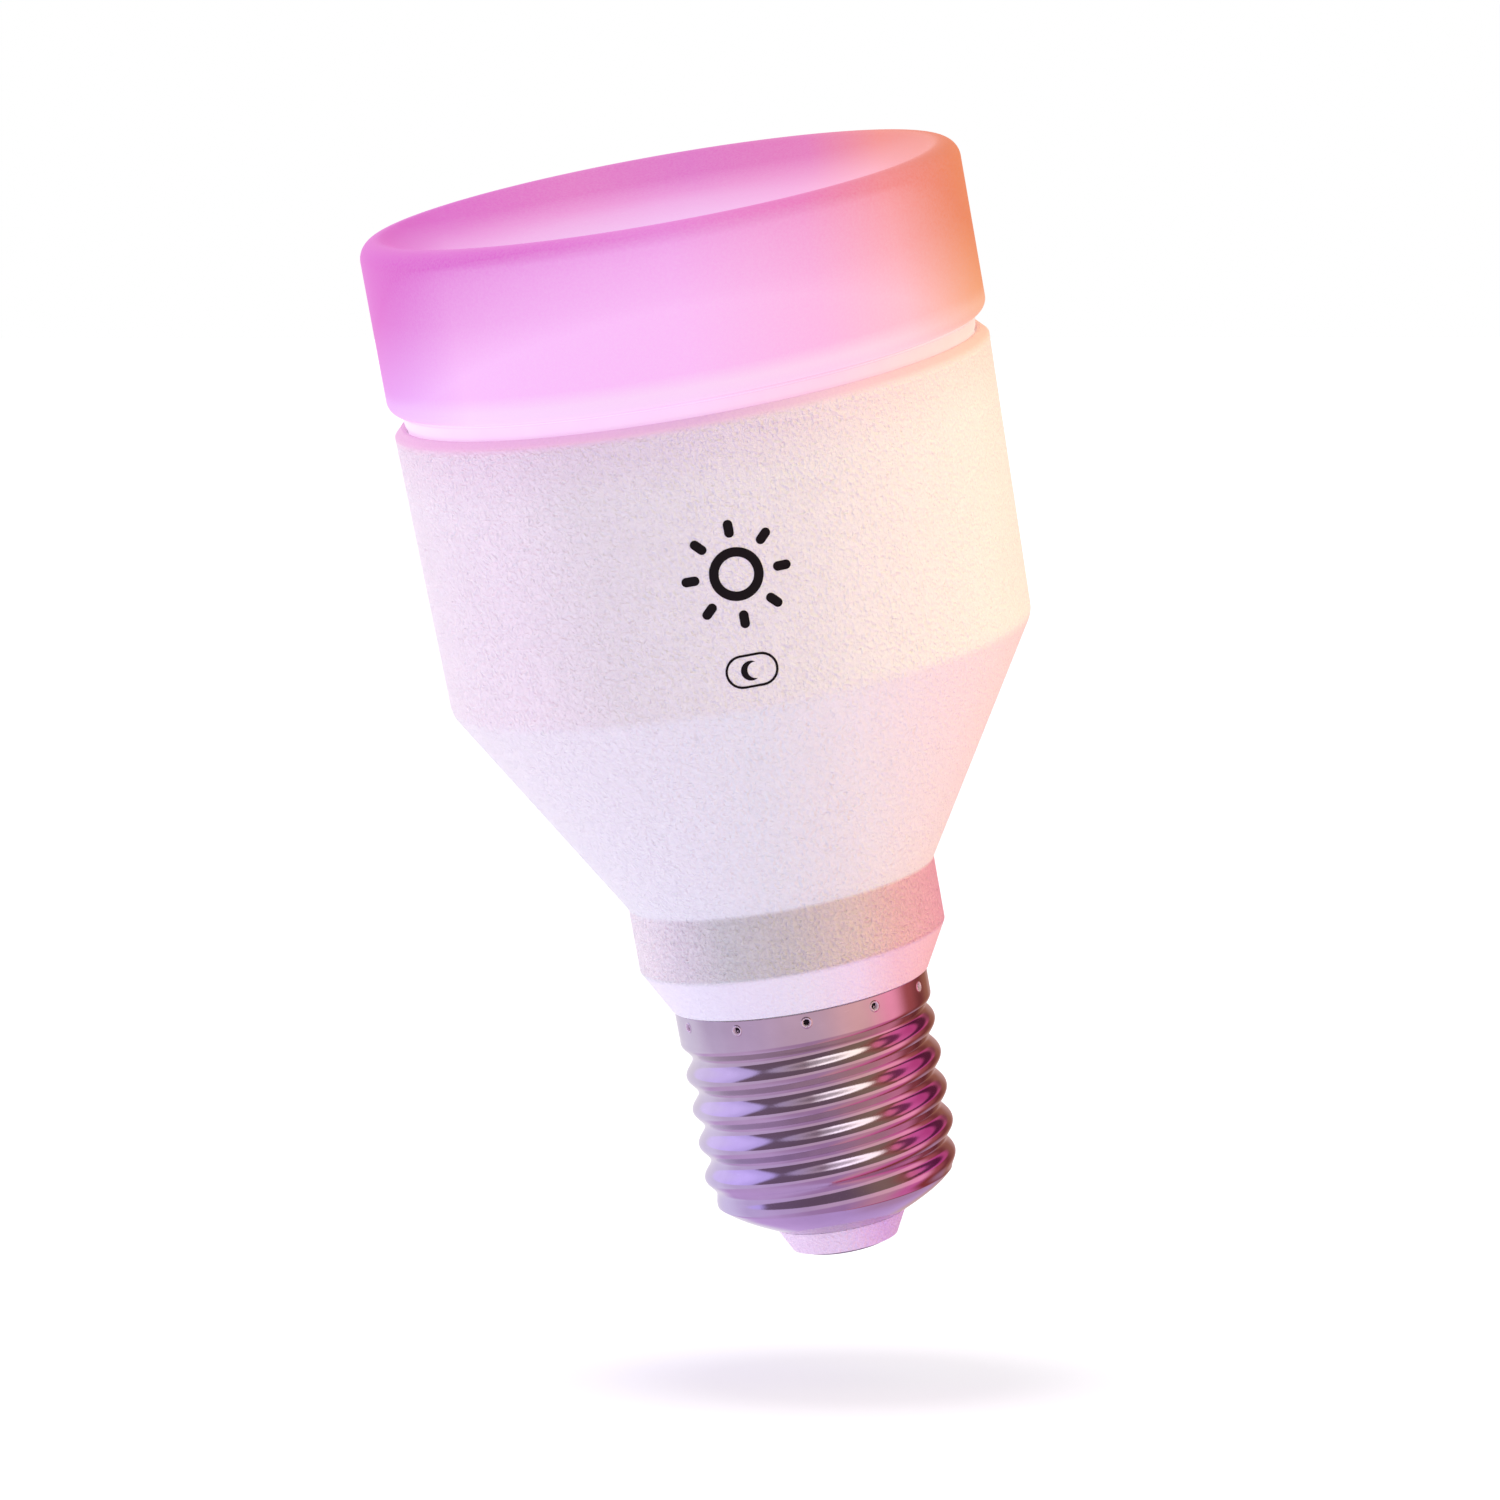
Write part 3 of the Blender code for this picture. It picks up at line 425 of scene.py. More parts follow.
def pit_shade_paint():
    """Painted shade: the dark bottom of a staking mark."""
    p = Paint("cap_pit_dark", Roughness=0.7, Specular_IOR_Level=0.1)
    grain = p.noise(5000, 2, 0.6)
    p.to(Base_Color=p.mix(p.span(grain, 0.3, 0.7), (0.010, 0.006, 0.010), (0.022, 0.014, 0.020)))
    p.to(Roughness=p.span(grain, 0.3, 0.7, 0.6, 0.8), Normal=p.bump(grain, 0.2, 0.03))
    return p.material


def ring_highlight_paint():
    """A painted highlight: the bright edge round a staking mark."""
    p = Paint("cap_ring_worn", Metallic=0.6)
    grain = p.noise(5000, 2, 0.6)
    p.to(Base_Color=p.mix(p.span(grain, 0.3, 0.7), (0.70, 0.62, 0.68), (0.82, 0.74, 0.80)))
    p.to(Roughness=p.span(grain, 0.3, 0.7, 0.45, 0.6), Normal=p.bump(grain, 0.1, 0.02))
    return p.material


def insulator_paint():
    """Moulded plastic with a fine grain, with painted light from left to right and painted shade in the
    grain's hollows.
    """
    p = Paint("insulator_plastic_moulded", Roughness=0.45, Specular_IOR_Level=0.4)
    grain = p.noise(2600, 3, 0.6)
    # Painted light from left to right, then painted shade in the grain's hollows.
    tone = across(p, INSULATOR_PAINTED_LIGHT)
    tone = p.mix(p.span(grain, 0.35, 0.65, 0.08, 0.0), tone, (0, 0, 0))
    p.to(Base_Color=tone, Roughness=p.span(grain, 0.3, 0.7, 0.38, 0.55), Normal=p.bump(grain, 1.0, 0.3))
    return p.material


def metal_paint(name, low, high, roughness, scale=400.0, stretch=(1, 1, 1)):
    """Metal with cloudy tarnish and fine scratches."""
    p = Paint(name, Metallic=1.0)
    cloud = p.noise(scale, 3, 0.6)
    scratch = p.noise(scale * 6, 2, 0.7, vector=p.stretched(*stretch))
    p.to(Base_Color=p.mix(p.span(cloud, 0.3, 0.7), low, high))
    dull = p.span(cloud, 0.3, 0.7, roughness, roughness + 0.1)
    p.to(Roughness=p.maths("ADD", dull, p.span(scratch, 0.4, 0.7, 0.0, 0.08)))
    p.to(Normal=p.bump(scratch, 0.12, 0.02))
    return p.material


def plastic_paint(name, low, high, roughness, scale=600.0, bump=0.1, coat=0.0):
    """Moulded or coated plastic with a mottled tone and a fine grain."""
    p = Paint(name, Coat_Weight=coat)
    cloud = p.noise(scale, 2, 0.5)
    grain = p.noise(scale * 5, 3, 0.6)
    p.to(Base_Color=p.mix(p.span(cloud, 0.3, 0.7), low, high))
    p.to(Roughness=p.span(grain, 0.3, 0.7, roughness - 0.06, roughness + 0.08))
    p.to(Normal=p.bump(grain, bump, 0.04))
    return p.material


def board_paint(name, mask, track, scale):
    """A circuit board's solder mask with the tracks showing through as a paler net."""
    p = Paint(name, Coat_Weight=0.3, Coat_Roughness=0.2)
    net = p.cells(scale, "DISTANCE_TO_EDGE")
    line = p.span(net, 0.05, 0.09, 1.0, 0.0)
    p.to(Base_Color=p.mix(line, mask, track))
    p.to(Roughness=p.span(p.noise(scale * 5, 2), 0.3, 0.7, 0.3, 0.45), Normal=p.bump(line, 0.25, 0.03))
    return p.material


def led_paint(name, rim, window):
    """A light-emitting diode package: pale moulded rim round a phosphor window."""
    p = Paint(name, Roughness=0.4)
    dots = p.noise(2500, 2, 0.6)
    p.to(Base_Color=p.mix(p.span(p.noise(400, 1), 0.4, 0.6), rim, window))
    p.to(Roughness=p.span(dots, 0.3, 0.7, 0.3, 0.5), Normal=p.bump(dots, 0.1, 0.02))
    return p.material


def wound_paint(name, low, high, turns):
    """Windings or tape: fine bands across the height."""
    p = Paint(name, Roughness=0.4, Coat_Weight=0.2)
    wave = p.node("TexWave", {"bands_direction": "Z"}, Vector=p.place, Scale=turns, Distortion=0.6,
                  Detail=1.0)
    bands = wave.outputs["Fac"]
    p.to(Base_Color=p.mix(bands, low, high))
    p.to(Roughness=p.span(p.noise(1500, 2), 0.3, 0.7, 0.32, 0.5), Normal=p.bump(bands, 0.3, 0.05))
    return p.material


# The finish of each material slot inside: the function that paints it and what it is given.

INSIDE = {
    "seal_rubber": (plastic_paint, (0.05, 0.05, 0.055), (0.08, 0.08, 0.085), 0.75, 700, 0.2),
    "heat_sink_metal": (metal_paint, (0.66, 0.67, 0.69), (0.76, 0.77, 0.79), 0.34, 300, (1, 1, 8)),
    "thermal_silicone": (plastic_paint, (0.42, 0.50, 0.56), (0.50, 0.58, 0.64), 0.8, 500, 0.25),
    "led_board_mask": (board_paint, (0.84, 0.84, 0.82), (0.72, 0.72, 0.70), 260),
    "led_colour_package": (led_paint, (0.88, 0.88, 0.84), (0.90, 0.80, 0.35)),
    "led_infrared_package": (led_paint, (0.20, 0.14, 0.18), (0.07, 0.04, 0.06)),
    "screw_steel": (metal_paint, (0.52, 0.52, 0.53), (0.64, 0.64, 0.65), 0.3, 900, (1, 1, 1)),
    "driver_board_mask": (board_paint, (0.03, 0.16, 0.07), (0.10, 0.30, 0.14), 240),
    "sleeve_film": (plastic_paint, (0.72, 0.70, 0.60), (0.78, 0.76, 0.66), 0.3, 120, 0.08, 0.4),
    "capacitor_sleeve": (plastic_paint, (0.03, 0.05, 0.10), (0.05, 0.08, 0.14), 0.3, 300, 0.06, 0.3),
    "ferrite": (plastic_paint, (0.07, 0.07, 0.075), (0.12, 0.12, 0.125), 0.6, 1200, 0.25),
    "winding_tape": (wound_paint, (0.72, 0.50, 0.10), (0.86, 0.64, 0.18), 500),
    "component_epoxy": (plastic_paint, (0.03, 0.03, 0.033), (0.05, 0.05, 0.054), 0.5, 1500, 0.15),
    "resistor_coating": (plastic_paint, (0.20, 0.38, 0.42), (0.26, 0.46, 0.50), 0.45, 900, 0.1),
    "film_case": (plastic_paint, (0.55, 0.08, 0.05), (0.65, 0.12, 0.07), 0.35, 700, 0.08, 0.3),
    "varistor_coating": (plastic_paint, (0.04, 0.16, 0.42), (0.06, 0.22, 0.52), 0.4, 700, 0.12, 0.3),
    "header_plastic": (plastic_paint, (0.04, 0.04, 0.042), (0.07, 0.07, 0.072), 0.45, 900, 0.08),
    "module_mask": (board_paint, (0.02, 0.05, 0.14), (0.08, 0.13, 0.26), 420),
    "shield_metal": (metal_paint, (0.66, 0.66, 0.65), (0.78, 0.78, 0.77), 0.26, 500, (8, 1, 1)),
    "wire_red": (plastic_paint, (0.55, 0.03, 0.03), (0.68, 0.06, 0.05), 0.4, 800, 0.05),
    "wire_blue": (plastic_paint, (0.04, 0.12, 0.50), (0.06, 0.17, 0.62), 0.4, 800, 0.05),
    "wire_black": (plastic_paint, (0.025, 0.025, 0.027), (0.045, 0.045, 0.05), 0.4, 800, 0.05),
}


def paint_inside():
    """Every carried-over node gets the procedural finish of its own material slot."""
    made = {}
    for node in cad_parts.values():
        for entry in node.material_slots:
            slot = entry.material.name.split(".")[0]
            if slot in INSIDE:
                if slot not in made:
                    paint, *values = INSIDE[slot]
                    made[slot] = paint(slot + "_finish", *values)
                entry.material = made[slot]


# Cap: the rolled thread, the skirt above it and the bowl below it

PITCH = 3.629
CREST_RADIUS = 13.15
ROOT_RADIUS = 12.2
CREST_HEIGHT = 7.58
SHEET = 0.35
SKIRT_TOP = 27.5
SKIRT_EDGE = 0.12
SKIRT_BOTTOM = 24.8
THREAD_TOP = 23.2
THREAD_BOTTOM = 6.4
THREAD_STEP = 0.13
FADE_TOP = 9.2
FADE_BOTTOM = 5.2
INSIDE_STEP = 0.4
BOWL_CURVE = ((12.2, 6.35), (11.35, 5.15), (6.95, 3.0))
BOWL_STEPS = 18
BOWL_BLEND = 7

# The staking marks pressed into the skirt, and the finely divided band they stand in

PUNCHES = 11
PUNCH_HEIGHT = 26.45
PUNCH_REACH = 0.75
PIT_DEPTH = 0.55
PIT_RADIUS = 0.36
RING_RISE = 0.07
RING_RADIUS = 0.48
RING_WIDTH = 0.08
# Reach from a mark's middle of the pit's painted shade and of the ring's painted highlight.
PIT_PAINTED = 0.31
RING_PAINTED = 0.5
BAND_BOTTOM = 25.9
BAND_LEVELS = 22
STEPS_AT_PUNCH = 26
STEPS_BETWEEN = 16


def ease(value, low, high):
    """A smooth step from 0 at the low limit to 1 at the high one."""
    t = min(max((value - low) / (high - low), 0.0), 1.0)
    return t * t * (3 - 2 * t)


def thread_radius(height, angle):
    """Outside radius of the rolled right-hand thread, fading into the skirt above and the bowl below."""
    wave = 0.5 + 0.5 * math.cos(TAU * ((height - CREST_HEIGHT) / PITCH - angle / TAU))
    depth = (CREST_RADIUS - ROOT_RADIUS) * ease(height, FADE_BOTTOM, FADE_TOP)
    radius = ROOT_RADIUS + depth * wave
    return radius + (CREST_RADIUS - radius) * ease(height, THREAD_TOP, SKIRT_BOTTOM)


def punch_distance(angle, height):
    """How far a place on the skirt is from the middle of the nearest staking mark."""
    step = TAU / PUNCHES
    off = (angle + TAU / 4 + step / 2) % step - step / 2
    return math.hypot(off * CREST_RADIUS, height - PUNCH_HEIGHT)


def punch_relief(angle, height):
    """How far the skirt's face is moved outwards: in at a staking mark, and slightly out round it."""
    distance = punch_distance(angle, height)
    pit = PIT_DEPTH * max(0.0, 1 - (distance / PIT_RADIUS) ** 4)
    ring = RING_RISE * math.exp(-(((distance - RING_RADIUS) / RING_WIDTH) ** 2))
    return ring - pit


def skirt_angles():
    """Angles round the skirt, close together at the marks."""
    angles = []
    step = TAU / PUNCHES
    near = PUNCH_REACH / CREST_RADIUS
    for k in range(PUNCHES):
        middle = -TAU / 4 + step * k
        angles += [middle - near + 2 * near * i / STEPS_AT_PUNCH for i in range(STEPS_AT_PUNCH)]
        angles += [middle + near + (step - 2 * near) * i / STEPS_BETWEEN for i in range(STEPS_BETWEEN)]
    return sorted(angle % TAU for angle in angles)


def zipped(upper, lower):
    """Triangles between two closed rings of (angle, point index), whose counts may differ."""
    faces = []
    i = j = 0
    top, low = len(upper), len(lower)
    while i < top or j < low:
        next_top = upper[(i + 1) % top][0] + (TAU if i + 1 >= top else 0)
        next_low = lower[(j + 1) % low][0] + (TAU if j + 1 >= low else 0)
        if j >= low or (i < top and next_top <= next_low):
            faces.append((upper[i % top][1], lower[j % low][1], upper[(i + 1) % top][1]))
            i += 1
        else:
            faces.append((upper[i % top][1], lower[j % low][1], lower[(j + 1) % low][1]))
            j += 1
    return faces


def make_screw_shell(material):
    """The pressed cap sheet with its skirt, staking marks, rolled thread and rounded bowl."""
    segments = 240
    points, faces = [], []

    def ring(angles, place):
        row = []
        for angle in angles:
            radius, height = place(angle)
            row.append((angle, len(points)))
            points.append((radius * math.cos(angle), radius * math.sin(angle), height))
        return row

    even = [TAU * i / segments for i in range(segments)]
    fine = skirt_angles()
    rows = []
    for k in range(5):
        lean = math.radians(90 - 22.5 * k)
        rows.append(ring(fine, lambda a, lean=lean: (
            CREST_RADIUS - SKIRT_EDGE + SKIRT_EDGE * math.cos(lean),
            SKIRT_TOP - SKIRT_EDGE + SKIRT_EDGE * math.sin(lean))))
    for k in range(1, BAND_LEVELS + 1):
        height = SKIRT_TOP - SKIRT_EDGE + (BAND_BOTTOM - SKIRT_TOP + SKIRT_EDGE) * k / BAND_LEVELS
        rows.append(ring(fine, lambda a, h=height: (CREST_RADIUS + punch_relief(a, h), h)))
    height = BAND_BOTTOM
    while height - THREAD_STEP > THREAD_BOTTOM:
        height -= THREAD_STEP
        rows.append(ring(even, lambda a, h=height: (thread_radius(h, a), h)))
    for k, p in enumerate(bowl_outside()):
        share = 1 - ease(k, 0, BOWL_BLEND)
        rows.append(ring(even, lambda a, p=p, share=share: (
            p[0] + share * (thread_radius(p[1], a) - ROOT_RADIUS), p[1])))
    for p in bowl_inside():
        rows.append(ring(even, lambda a, p=p: p))
    height = THREAD_BOTTOM + INSIDE_STEP
    while height < SKIRT_TOP - 0.5:
        rows.append(ring(even, lambda a, h=height: (thread_radius(h, a) - SHEET, h)))
        height += INSIDE_STEP
    rows.append(ring(even, lambda a: (CREST_RADIUS - SHEET, SKIRT_TOP)))
    for upper, lower in neighbours(rows, True):
        if len(upper) == len(lower):
            count = len(upper)
            faces += [(upper[i][1], lower[i][1], lower[(i + 1) % count][1], upper[(i + 1) % count][1])
                      for i in range(count)]
        else:
            faces += zipped(upper, lower)
    piece = mesh_piece("cap_screw_shell", points, faces, material, 50)
    piece.data.materials.append(pit_shade_paint())
    piece.data.materials.append(ring_highlight_paint())
    # Faces in a staking mark's pit take painted shade, and those round it a painted highlight.
    for face in piece.data.polygons:
        x, y, z = (v / MM for v in face.center)
        if math.hypot(x, y) > CREST_RADIUS - 2 * SHEET:
            away = punch_distance(math.atan2(y, x), z)
            if away < PIT_PAINTED:
                face.material_index = 1
            elif away < RING_PAINTED:
                face.material_index = 2
    return piece


def bowl_outside():
    """The bowl's outer face from the end of the thread to the lip, a smooth curve."""
    start, handle, end = (Vector(p) for p in BOWL_CURVE)
    points = []
    for k in range(BOWL_STEPS + 1):
        t = k / BOWL_STEPS
        p = start * (1 - t) ** 2 + handle * 2 * t * (1 - t) + end * t**2
        points.append((p.x, p.y))
    return points


def bowl_inside():
    """The same face a sheet's thickness further in, from the lip back up."""
    points = []
    line = [Vector(p) for p in bowl_outside()]
    for k in range(len(line) - 1, -1, -3):
        along = line[min(k + 1, len(line) - 1)] - line[max(k - 1, 0)]
        inward = Vector((-along.y, along.x)).normalized()
        inward = inward if inward.y > 0 else -inward
        points.append(tuple(line[k] + inward * SHEET))
    return points


# Housing, neck, diffuser, insulator and contact

BODY_BOTTOM, BODY_TOP = 62.2, 91.1
BODY_RADIUS_LOW, BODY_RADIUS_HIGH = 30.05, 30.65


def make_housing(material):
    outline = [
        (11.5, 8.6), (11.5, 23.6), (12.5, 24.8), (12.5, 27.57), (13.4, 27.57, 0.1), (15.9, 32.15, 0.35),
        (15.9, 38.8, 0.3), (BODY_RADIUS_LOW, BODY_BOTTOM, 2.6), (BODY_RADIUS_HIGH, BODY_TOP, 0.22),
        (29.85, 91.9, 0.12), (29.5, 91.9, 0.08), (29.5, 88.9), (29.95, 88.6), (29.95, 87.3), (29.5, 87.0),
        (29.5, 84.2), (28.6, 84.2), (28.6, 63.3), (13.75, 38.4), (13.75, 33.15), (10.0, 29.0), (10.0, 8.6),
    ]
    return turned("housing_shell", refined(rounded(outline)), material)


def make_neck_ring(material):
    outline = [
        (29.2, 86.4), (29.2, 87.4), (29.6, 87.75), (29.6, 88.15), (29.2, 88.5), (29.2, 89.6), (28.4, 89.6),
        (28.4, 90.7), (29.2, 90.7), (29.2, 91.7), (29.4, 92.15, 0.1), (29.55, 93.25, 0.12), (28.8, 93.25),
        (28.8, 96.2, 0.15), (27.5, 96.2, 0.15), (27.5, 86.4),
    ]
    return turned("neck_ring_band", refined(rounded(outline)), material)


def make_diffuser(material):
    """The cup: its outer wall, a round rim, a dished top face and the inside of both."""
    wall, bottom, top, fillet, rim_radius, lean = 1.75, 93.5, 111.25, 1.35, 1.95, 30.4
    rim_centre = (CUP_RADIUS - rim_radius, top - rim_radius)
    foot = arc((CUP_RADIUS - fillet, bottom + fillet), fillet, -90, 0, 10)
    rim = arc(rim_centre, rim_radius, 0, 90 + lean, 22)
    edge = rim[-1]
    dish_radius = edge.x / math.sin(math.radians(lean))
    dish_centre = (0, edge.y + dish_radius * math.cos(math.radians(lean)))
    dish = arc(dish_centre, dish_radius, lean - 90, -90, 30)[1:]
    dish[-1].x = 0
    underside = arc(dish_centre, dish_radius + wall, -90, lean - 90, 16)
    underside[0].x = 0
    inner_wall = [Vector((CUP_RADIUS - wall, rim_centre[1])), Vector((CUP_RADIUS - wall, bottom))]
    outline = underside + inner_wall + foot + rim + dish
    return turned("diffuser_cup", refined(outline, False), material, False)


def make_insulator(material):
    outline = [
        (1.5, 0.9), (5.2, 0.9), (5.2, 0.35), (5.5, 0.4, 0.05), (6.8, 2.9), (6.65, 3.1), (6.65, 3.6),
        (10.3, 6.0), (10.3, 7.0), (4.0, 7.0), (3.4, 5.4), (1.5, 5.4),
    ]
    return turned("cap_insulator_cone", refined(rounded(outline)), material, segments=160)


def make_contact(material):
    outline = [
        (0, 0), (4.4, 0, 0.3), (4.9, 0.3, 0.1), (4.9, 0.6), (1.2, 0.6), (1.2, 7.7), (0.9, 8.0), (0, 8.0),
    ]
    return turned("centre_contact_disc", refined(rounded(outline, False), False), material, False, 128)


# Printed marks: a plain sun and a pill with a crescent moon

PRINT = 0.03
PRINT_SINK = -0.02
BLUNT = 0.1
NARROWEST = 0.004
SUN_MIDDLE = (1.0, 75.9)
SUN_INNER, SUN_OUTER = 1.75, 2.7
RAYS, RAY_START, RAY_END, RAY_WIDTH = 8, 3.7, 5.5, 0.95
PILL_MIDDLE = (0.85, 66.1)
PILL_WIDTH, PILL_HEIGHT, PILL_LINE = 5.3, 3.4, 0.24
MOON_SHIFT, MOON_RADIUS, MOON_BITE, MOON_BITE_SHIFT = -0.1, 1.0, 0.84, 0.48


def body_radius(height):
    """Radius of the housing's outer face between the body's bottom and top."""
    spread = (BODY_RADIUS_HIGH - BODY_RADIUS_LOW) * (height - BODY_BOTTOM)
    return BODY_RADIUS_LOW + spread / (BODY_TOP - BODY_BOTTOM)


def on_body(across, height, out):
    """The point of the housing's front this far across and at this height, stood off by out."""
    radius = body_radius(height) + out
    angle = across / body_radius(height) - TAU / 4
    return (radius * math.cos(angle), radius * math.sin(angle), height)


def printed(name, strips, material):
    """Thin raised print: each strip is a list of (inner point, outer point) pairs, (across, height) in
    millimetres, and whether it closes on itself."""
    points, faces = [], []
    for strip, closed in strips:
        first = len(points)
        for a, b in strip:
            points += [on_body(*a, PRINT_SINK), on_body(*b, PRINT_SINK)]
            points += [on_body(*b, PRINT), on_body(*a, PRINT)]
        count = len(strip)
        for i in range(count if closed else count - 1):
            p, q = first + 4 * i, first + 4 * ((i + 1) % count)
            for k in range(4):
                n = (k + 1) % 4
                faces.append((p + k, q + k, q + n, p + n))
        if not closed:
            last = first + 4 * (count - 1)
            faces += [(first, first + 1, first + 2, first + 3), (last + 3, last + 2, last + 1, last)]
    piece = mesh_piece(name, points, faces, material, 30)
    bm = bmesh.new()
    bm.from_mesh(piece.data)
    bmesh.ops.recalc_face_normals(bm, faces=bm.faces)
    bm.to_mesh(piece.data)
    bm.free()
    return piece


def circle_strip(middle, inner, outer, count=72):
    """A ring between two radii."""
    x, y = middle
    strip = []
    for i in range(count):
        c, s = math.cos(TAU * i / count), math.sin(TAU * i / count)
        strip.append(((x + inner * c, y + inner * s), (x + outer * c, y + outer * s)))
    return strip, True


def ray_strip(middle, angle, start, end, width, steps=6):
    """A bar with rounded ends that points away from the middle."""
    strip = []
    along = Vector((math.cos(angle), math.sin(angle)))
    side = Vector((-along.y, along.x))
    half = width / 2
    quarter = [(half * math.cos(math.pi / 2 * k / steps), half * math.sin(math.pi / 2 * k / steps))
               for k in range(steps + 1)]
    stations = [(start + half - c, s) for c, s in quarter] + [(end - half + s, c) for c, s in quarter]
    for reach, spread in stations:
        spread = max(spread, NARROWEST)
        a = Vector(middle) + along * reach - side * spread
        b = Vector(middle) + along * reach + side * spread
        strip.append((tuple(a), tuple(b)))
    return strip, False


def pill_strip(middle, width, height, line, steps=14):
    """The outline of a bar with round ends, drawn with a line of the given width."""
    half = height / 2
    straight = width / 2 - half
    strip = []
    for sign, first in ((1, -90), (-1, 90)):
        for k in range(steps + 1):
            angle = math.radians(first + 180 * k / steps)
            c, s = math.cos(angle), math.sin(angle)
            x = middle[0] + sign * straight
            strip.append(((x + (half - line) * c, middle[1] + (half - line) * s),
                          (x + half * c, middle[1] + half * s)))
    return strip, True


def moon_strip(middle, radius, bite, shift, steps=20):
    """A crescent between a circle and a second circle that takes a bite out of it."""
    reach = (radius**2 - bite**2 + shift**2) / (2 * shift)
    cut = math.sqrt(max(0.0, radius**2 - reach**2))
    outer_from = math.atan2(cut, reach)
    inner_from = math.atan2(cut, reach - shift)
    strip = []
    for k in range(steps + 1):
        share = (k + BLUNT) / (steps + 2 * BLUNT)
        outer = outer_from + (TAU - 2 * outer_from) * share
        inner = inner_from + (TAU - 2 * inner_from) * share
        a = (middle[0] + radius * math.cos(outer), middle[1] + radius * math.sin(outer))
        b = (middle[0] + shift + bite * math.cos(inner), middle[1] + bite * math.sin(inner))
        strip.append((a, b))
    return strip, False


def make_marks(material):
    strips = [circle_strip(SUN_MIDDLE, SUN_INNER, SUN_OUTER)]
    for k in range(RAYS):
        strips.append(ray_strip(SUN_MIDDLE, TAU * k / RAYS, RAY_START, RAY_END, RAY_WIDTH))
    strips.append(pill_strip(PILL_MIDDLE, PILL_WIDTH, PILL_HEIGHT, PILL_LINE))
    moon = (PILL_MIDDLE[0] + MOON_SHIFT, PILL_MIDDLE[1])
    strips.append(moon_strip(moon, MOON_RADIUS, MOON_BITE, MOON_BITE_SHIFT))
    return printed("printed_marks", strips, material)


def ink_paint():
    """Black printing ink with a faint grain."""
    p = Paint("mark_ink_black", Roughness=0.5, Specular_IOR_Level=0.15)
    grain = p.noise(3000, 3, 0.6)
    p.to(Base_Color=p.mix(p.span(grain, 0.3, 0.7), (0.004, 0.0035, 0.0035), (0.008, 0.007, 0.007)))
    p.to(Roughness=p.span(grain, 0.3, 0.7, 0.42, 0.58), Normal=p.bump(grain, 0.1, 0.03))
    return p.material


# Build

paint_inside()
REPLACED = [
    (make_housing(housing_paint()), "housing", "housing_plastic"),
    (make_neck_ring(neck_paint()), "neck_ring", "neck_plastic"),
    (make_diffuser(diffuser_paint()), "diffuser", "frosted_diffuser"),
    (make_screw_shell(nickel_paint()), "screw_shell", "cap_nickel"),
    (make_insulator(insulator_paint()), "cap_insulator", "insulator_plastic"),
    (make_contact(metal_paint("contact_metal_worn", (0.15, 0.14, 0.155), (0.26, 0.25, 0.26), 0.3, 500)),
     "centre_contact", "contact_metal"),
]
for piece, node, slot in REPLACED:
    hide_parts(node)
    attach(piece, "root")
marks = make_marks(ink_paint())
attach(marks, "root")


# Camera: rolled, so that the upright lamp leans in the picture

CAMERA_PLACE = (0.0, -0.9004, 0.2176)
PAN, TILT, ROLL = (math.radians(v) for v in (-0.0487, 10.3746, -10.1753))
camera = bpy.data.objects.new("camera", bpy.data.cameras.new("camera"))
bpy.context.scene.collection.objects.link(camera)
camera.data.sensor_width = 36
camera.data.lens = 214.65
camera.data.clip_end = 20
turn = Matrix.Rotation(-PAN, 4, "Z") @ Matrix.Rotation(math.pi / 2 - TILT, 4, "X")
turn = turn @ Matrix.Rotation(ROLL, 4, "Z")
camera.matrix_world = Matrix.Translation(CAMERA_PLACE) @ turn
bpy.context.scene.camera = camera


# Floor: level in the picture, leaning away from the camera, a little below the lamp. Lengths are in metres.

FLOOR_DROP = 0.0147
FLOOR_HALF = 4
FLOOR_LEAN = math.radians(6.2)
view = (turn.to_3x3() @ Vector((0, 0, -1))).normalized()
floor_up = Matrix.Rotation(-ROLL, 3, view) @ Vector((0, 0, 1))
floor_up = Matrix.Rotation(-FLOOR_LEAN, 3, view.cross(floor_up)) @ floor_up


def make_floor():
    """A white sheet that takes the lamp's shadow, is seen only from above and lights nothing itself."""
    half = FLOOR_HALF
    corners = [(-half, -half, 0), (half, -half, 0), (half, half, 0), (-half, half, 0)]
    mesh = bpy.data.meshes.new("floor")
    mesh.from_pydata(corners, [], [(0, 1, 2, 3)])
    floor = bpy.data.objects.new("floor", mesh)
    bpy.context.scene.collection.objects.link(floor)
    floor.rotation_mode = "QUATERNION"
    floor.rotation_quaternion = Vector((0, 0, 1)).rotation_difference(floor_up)
    floor.location = (0, 0, -FLOOR_DROP)
    p = Paint("floor_white", Roughness=0.9, Specular_IOR_Level=0.0, Emission_Strength=0.5)
    p.to(Base_Color=p.mix(p.span(p.noise(6, 2), 0.3, 0.7), (0.39, 0.39, 0.40), (0.41, 0.41, 0.42)))
    p.to(Emission_Color=(0.95, 0.95, 1.12, 1.0))
    clear = p.node("BsdfTransparent")
    side = p.node("NewGeometry")
    both = p.node("MixShader")
    p.feed(both.inputs[0], side.outputs["Backfacing"])
    p.feed(both.inputs[1], p.shader.outputs[0])
    p.feed(both.inputs[2], clear.outputs[0])
    p.feed(p.tree.nodes["Material Output"].inputs["Surface"], both.outputs[0])
    mesh.materials.append(p.material)
    floor.visible_diffuse = False
    floor.visible_glossy = False
    return floor


# Colours of the room round the horizon, as (degrees from the camera's side, positive to the right; linear
# colour). ROOM is the soft light, low and high. GLOSS is what polished metal mirrors, from below upwards:
# the floor, the horizon, and above it the dark room and the long light in it.

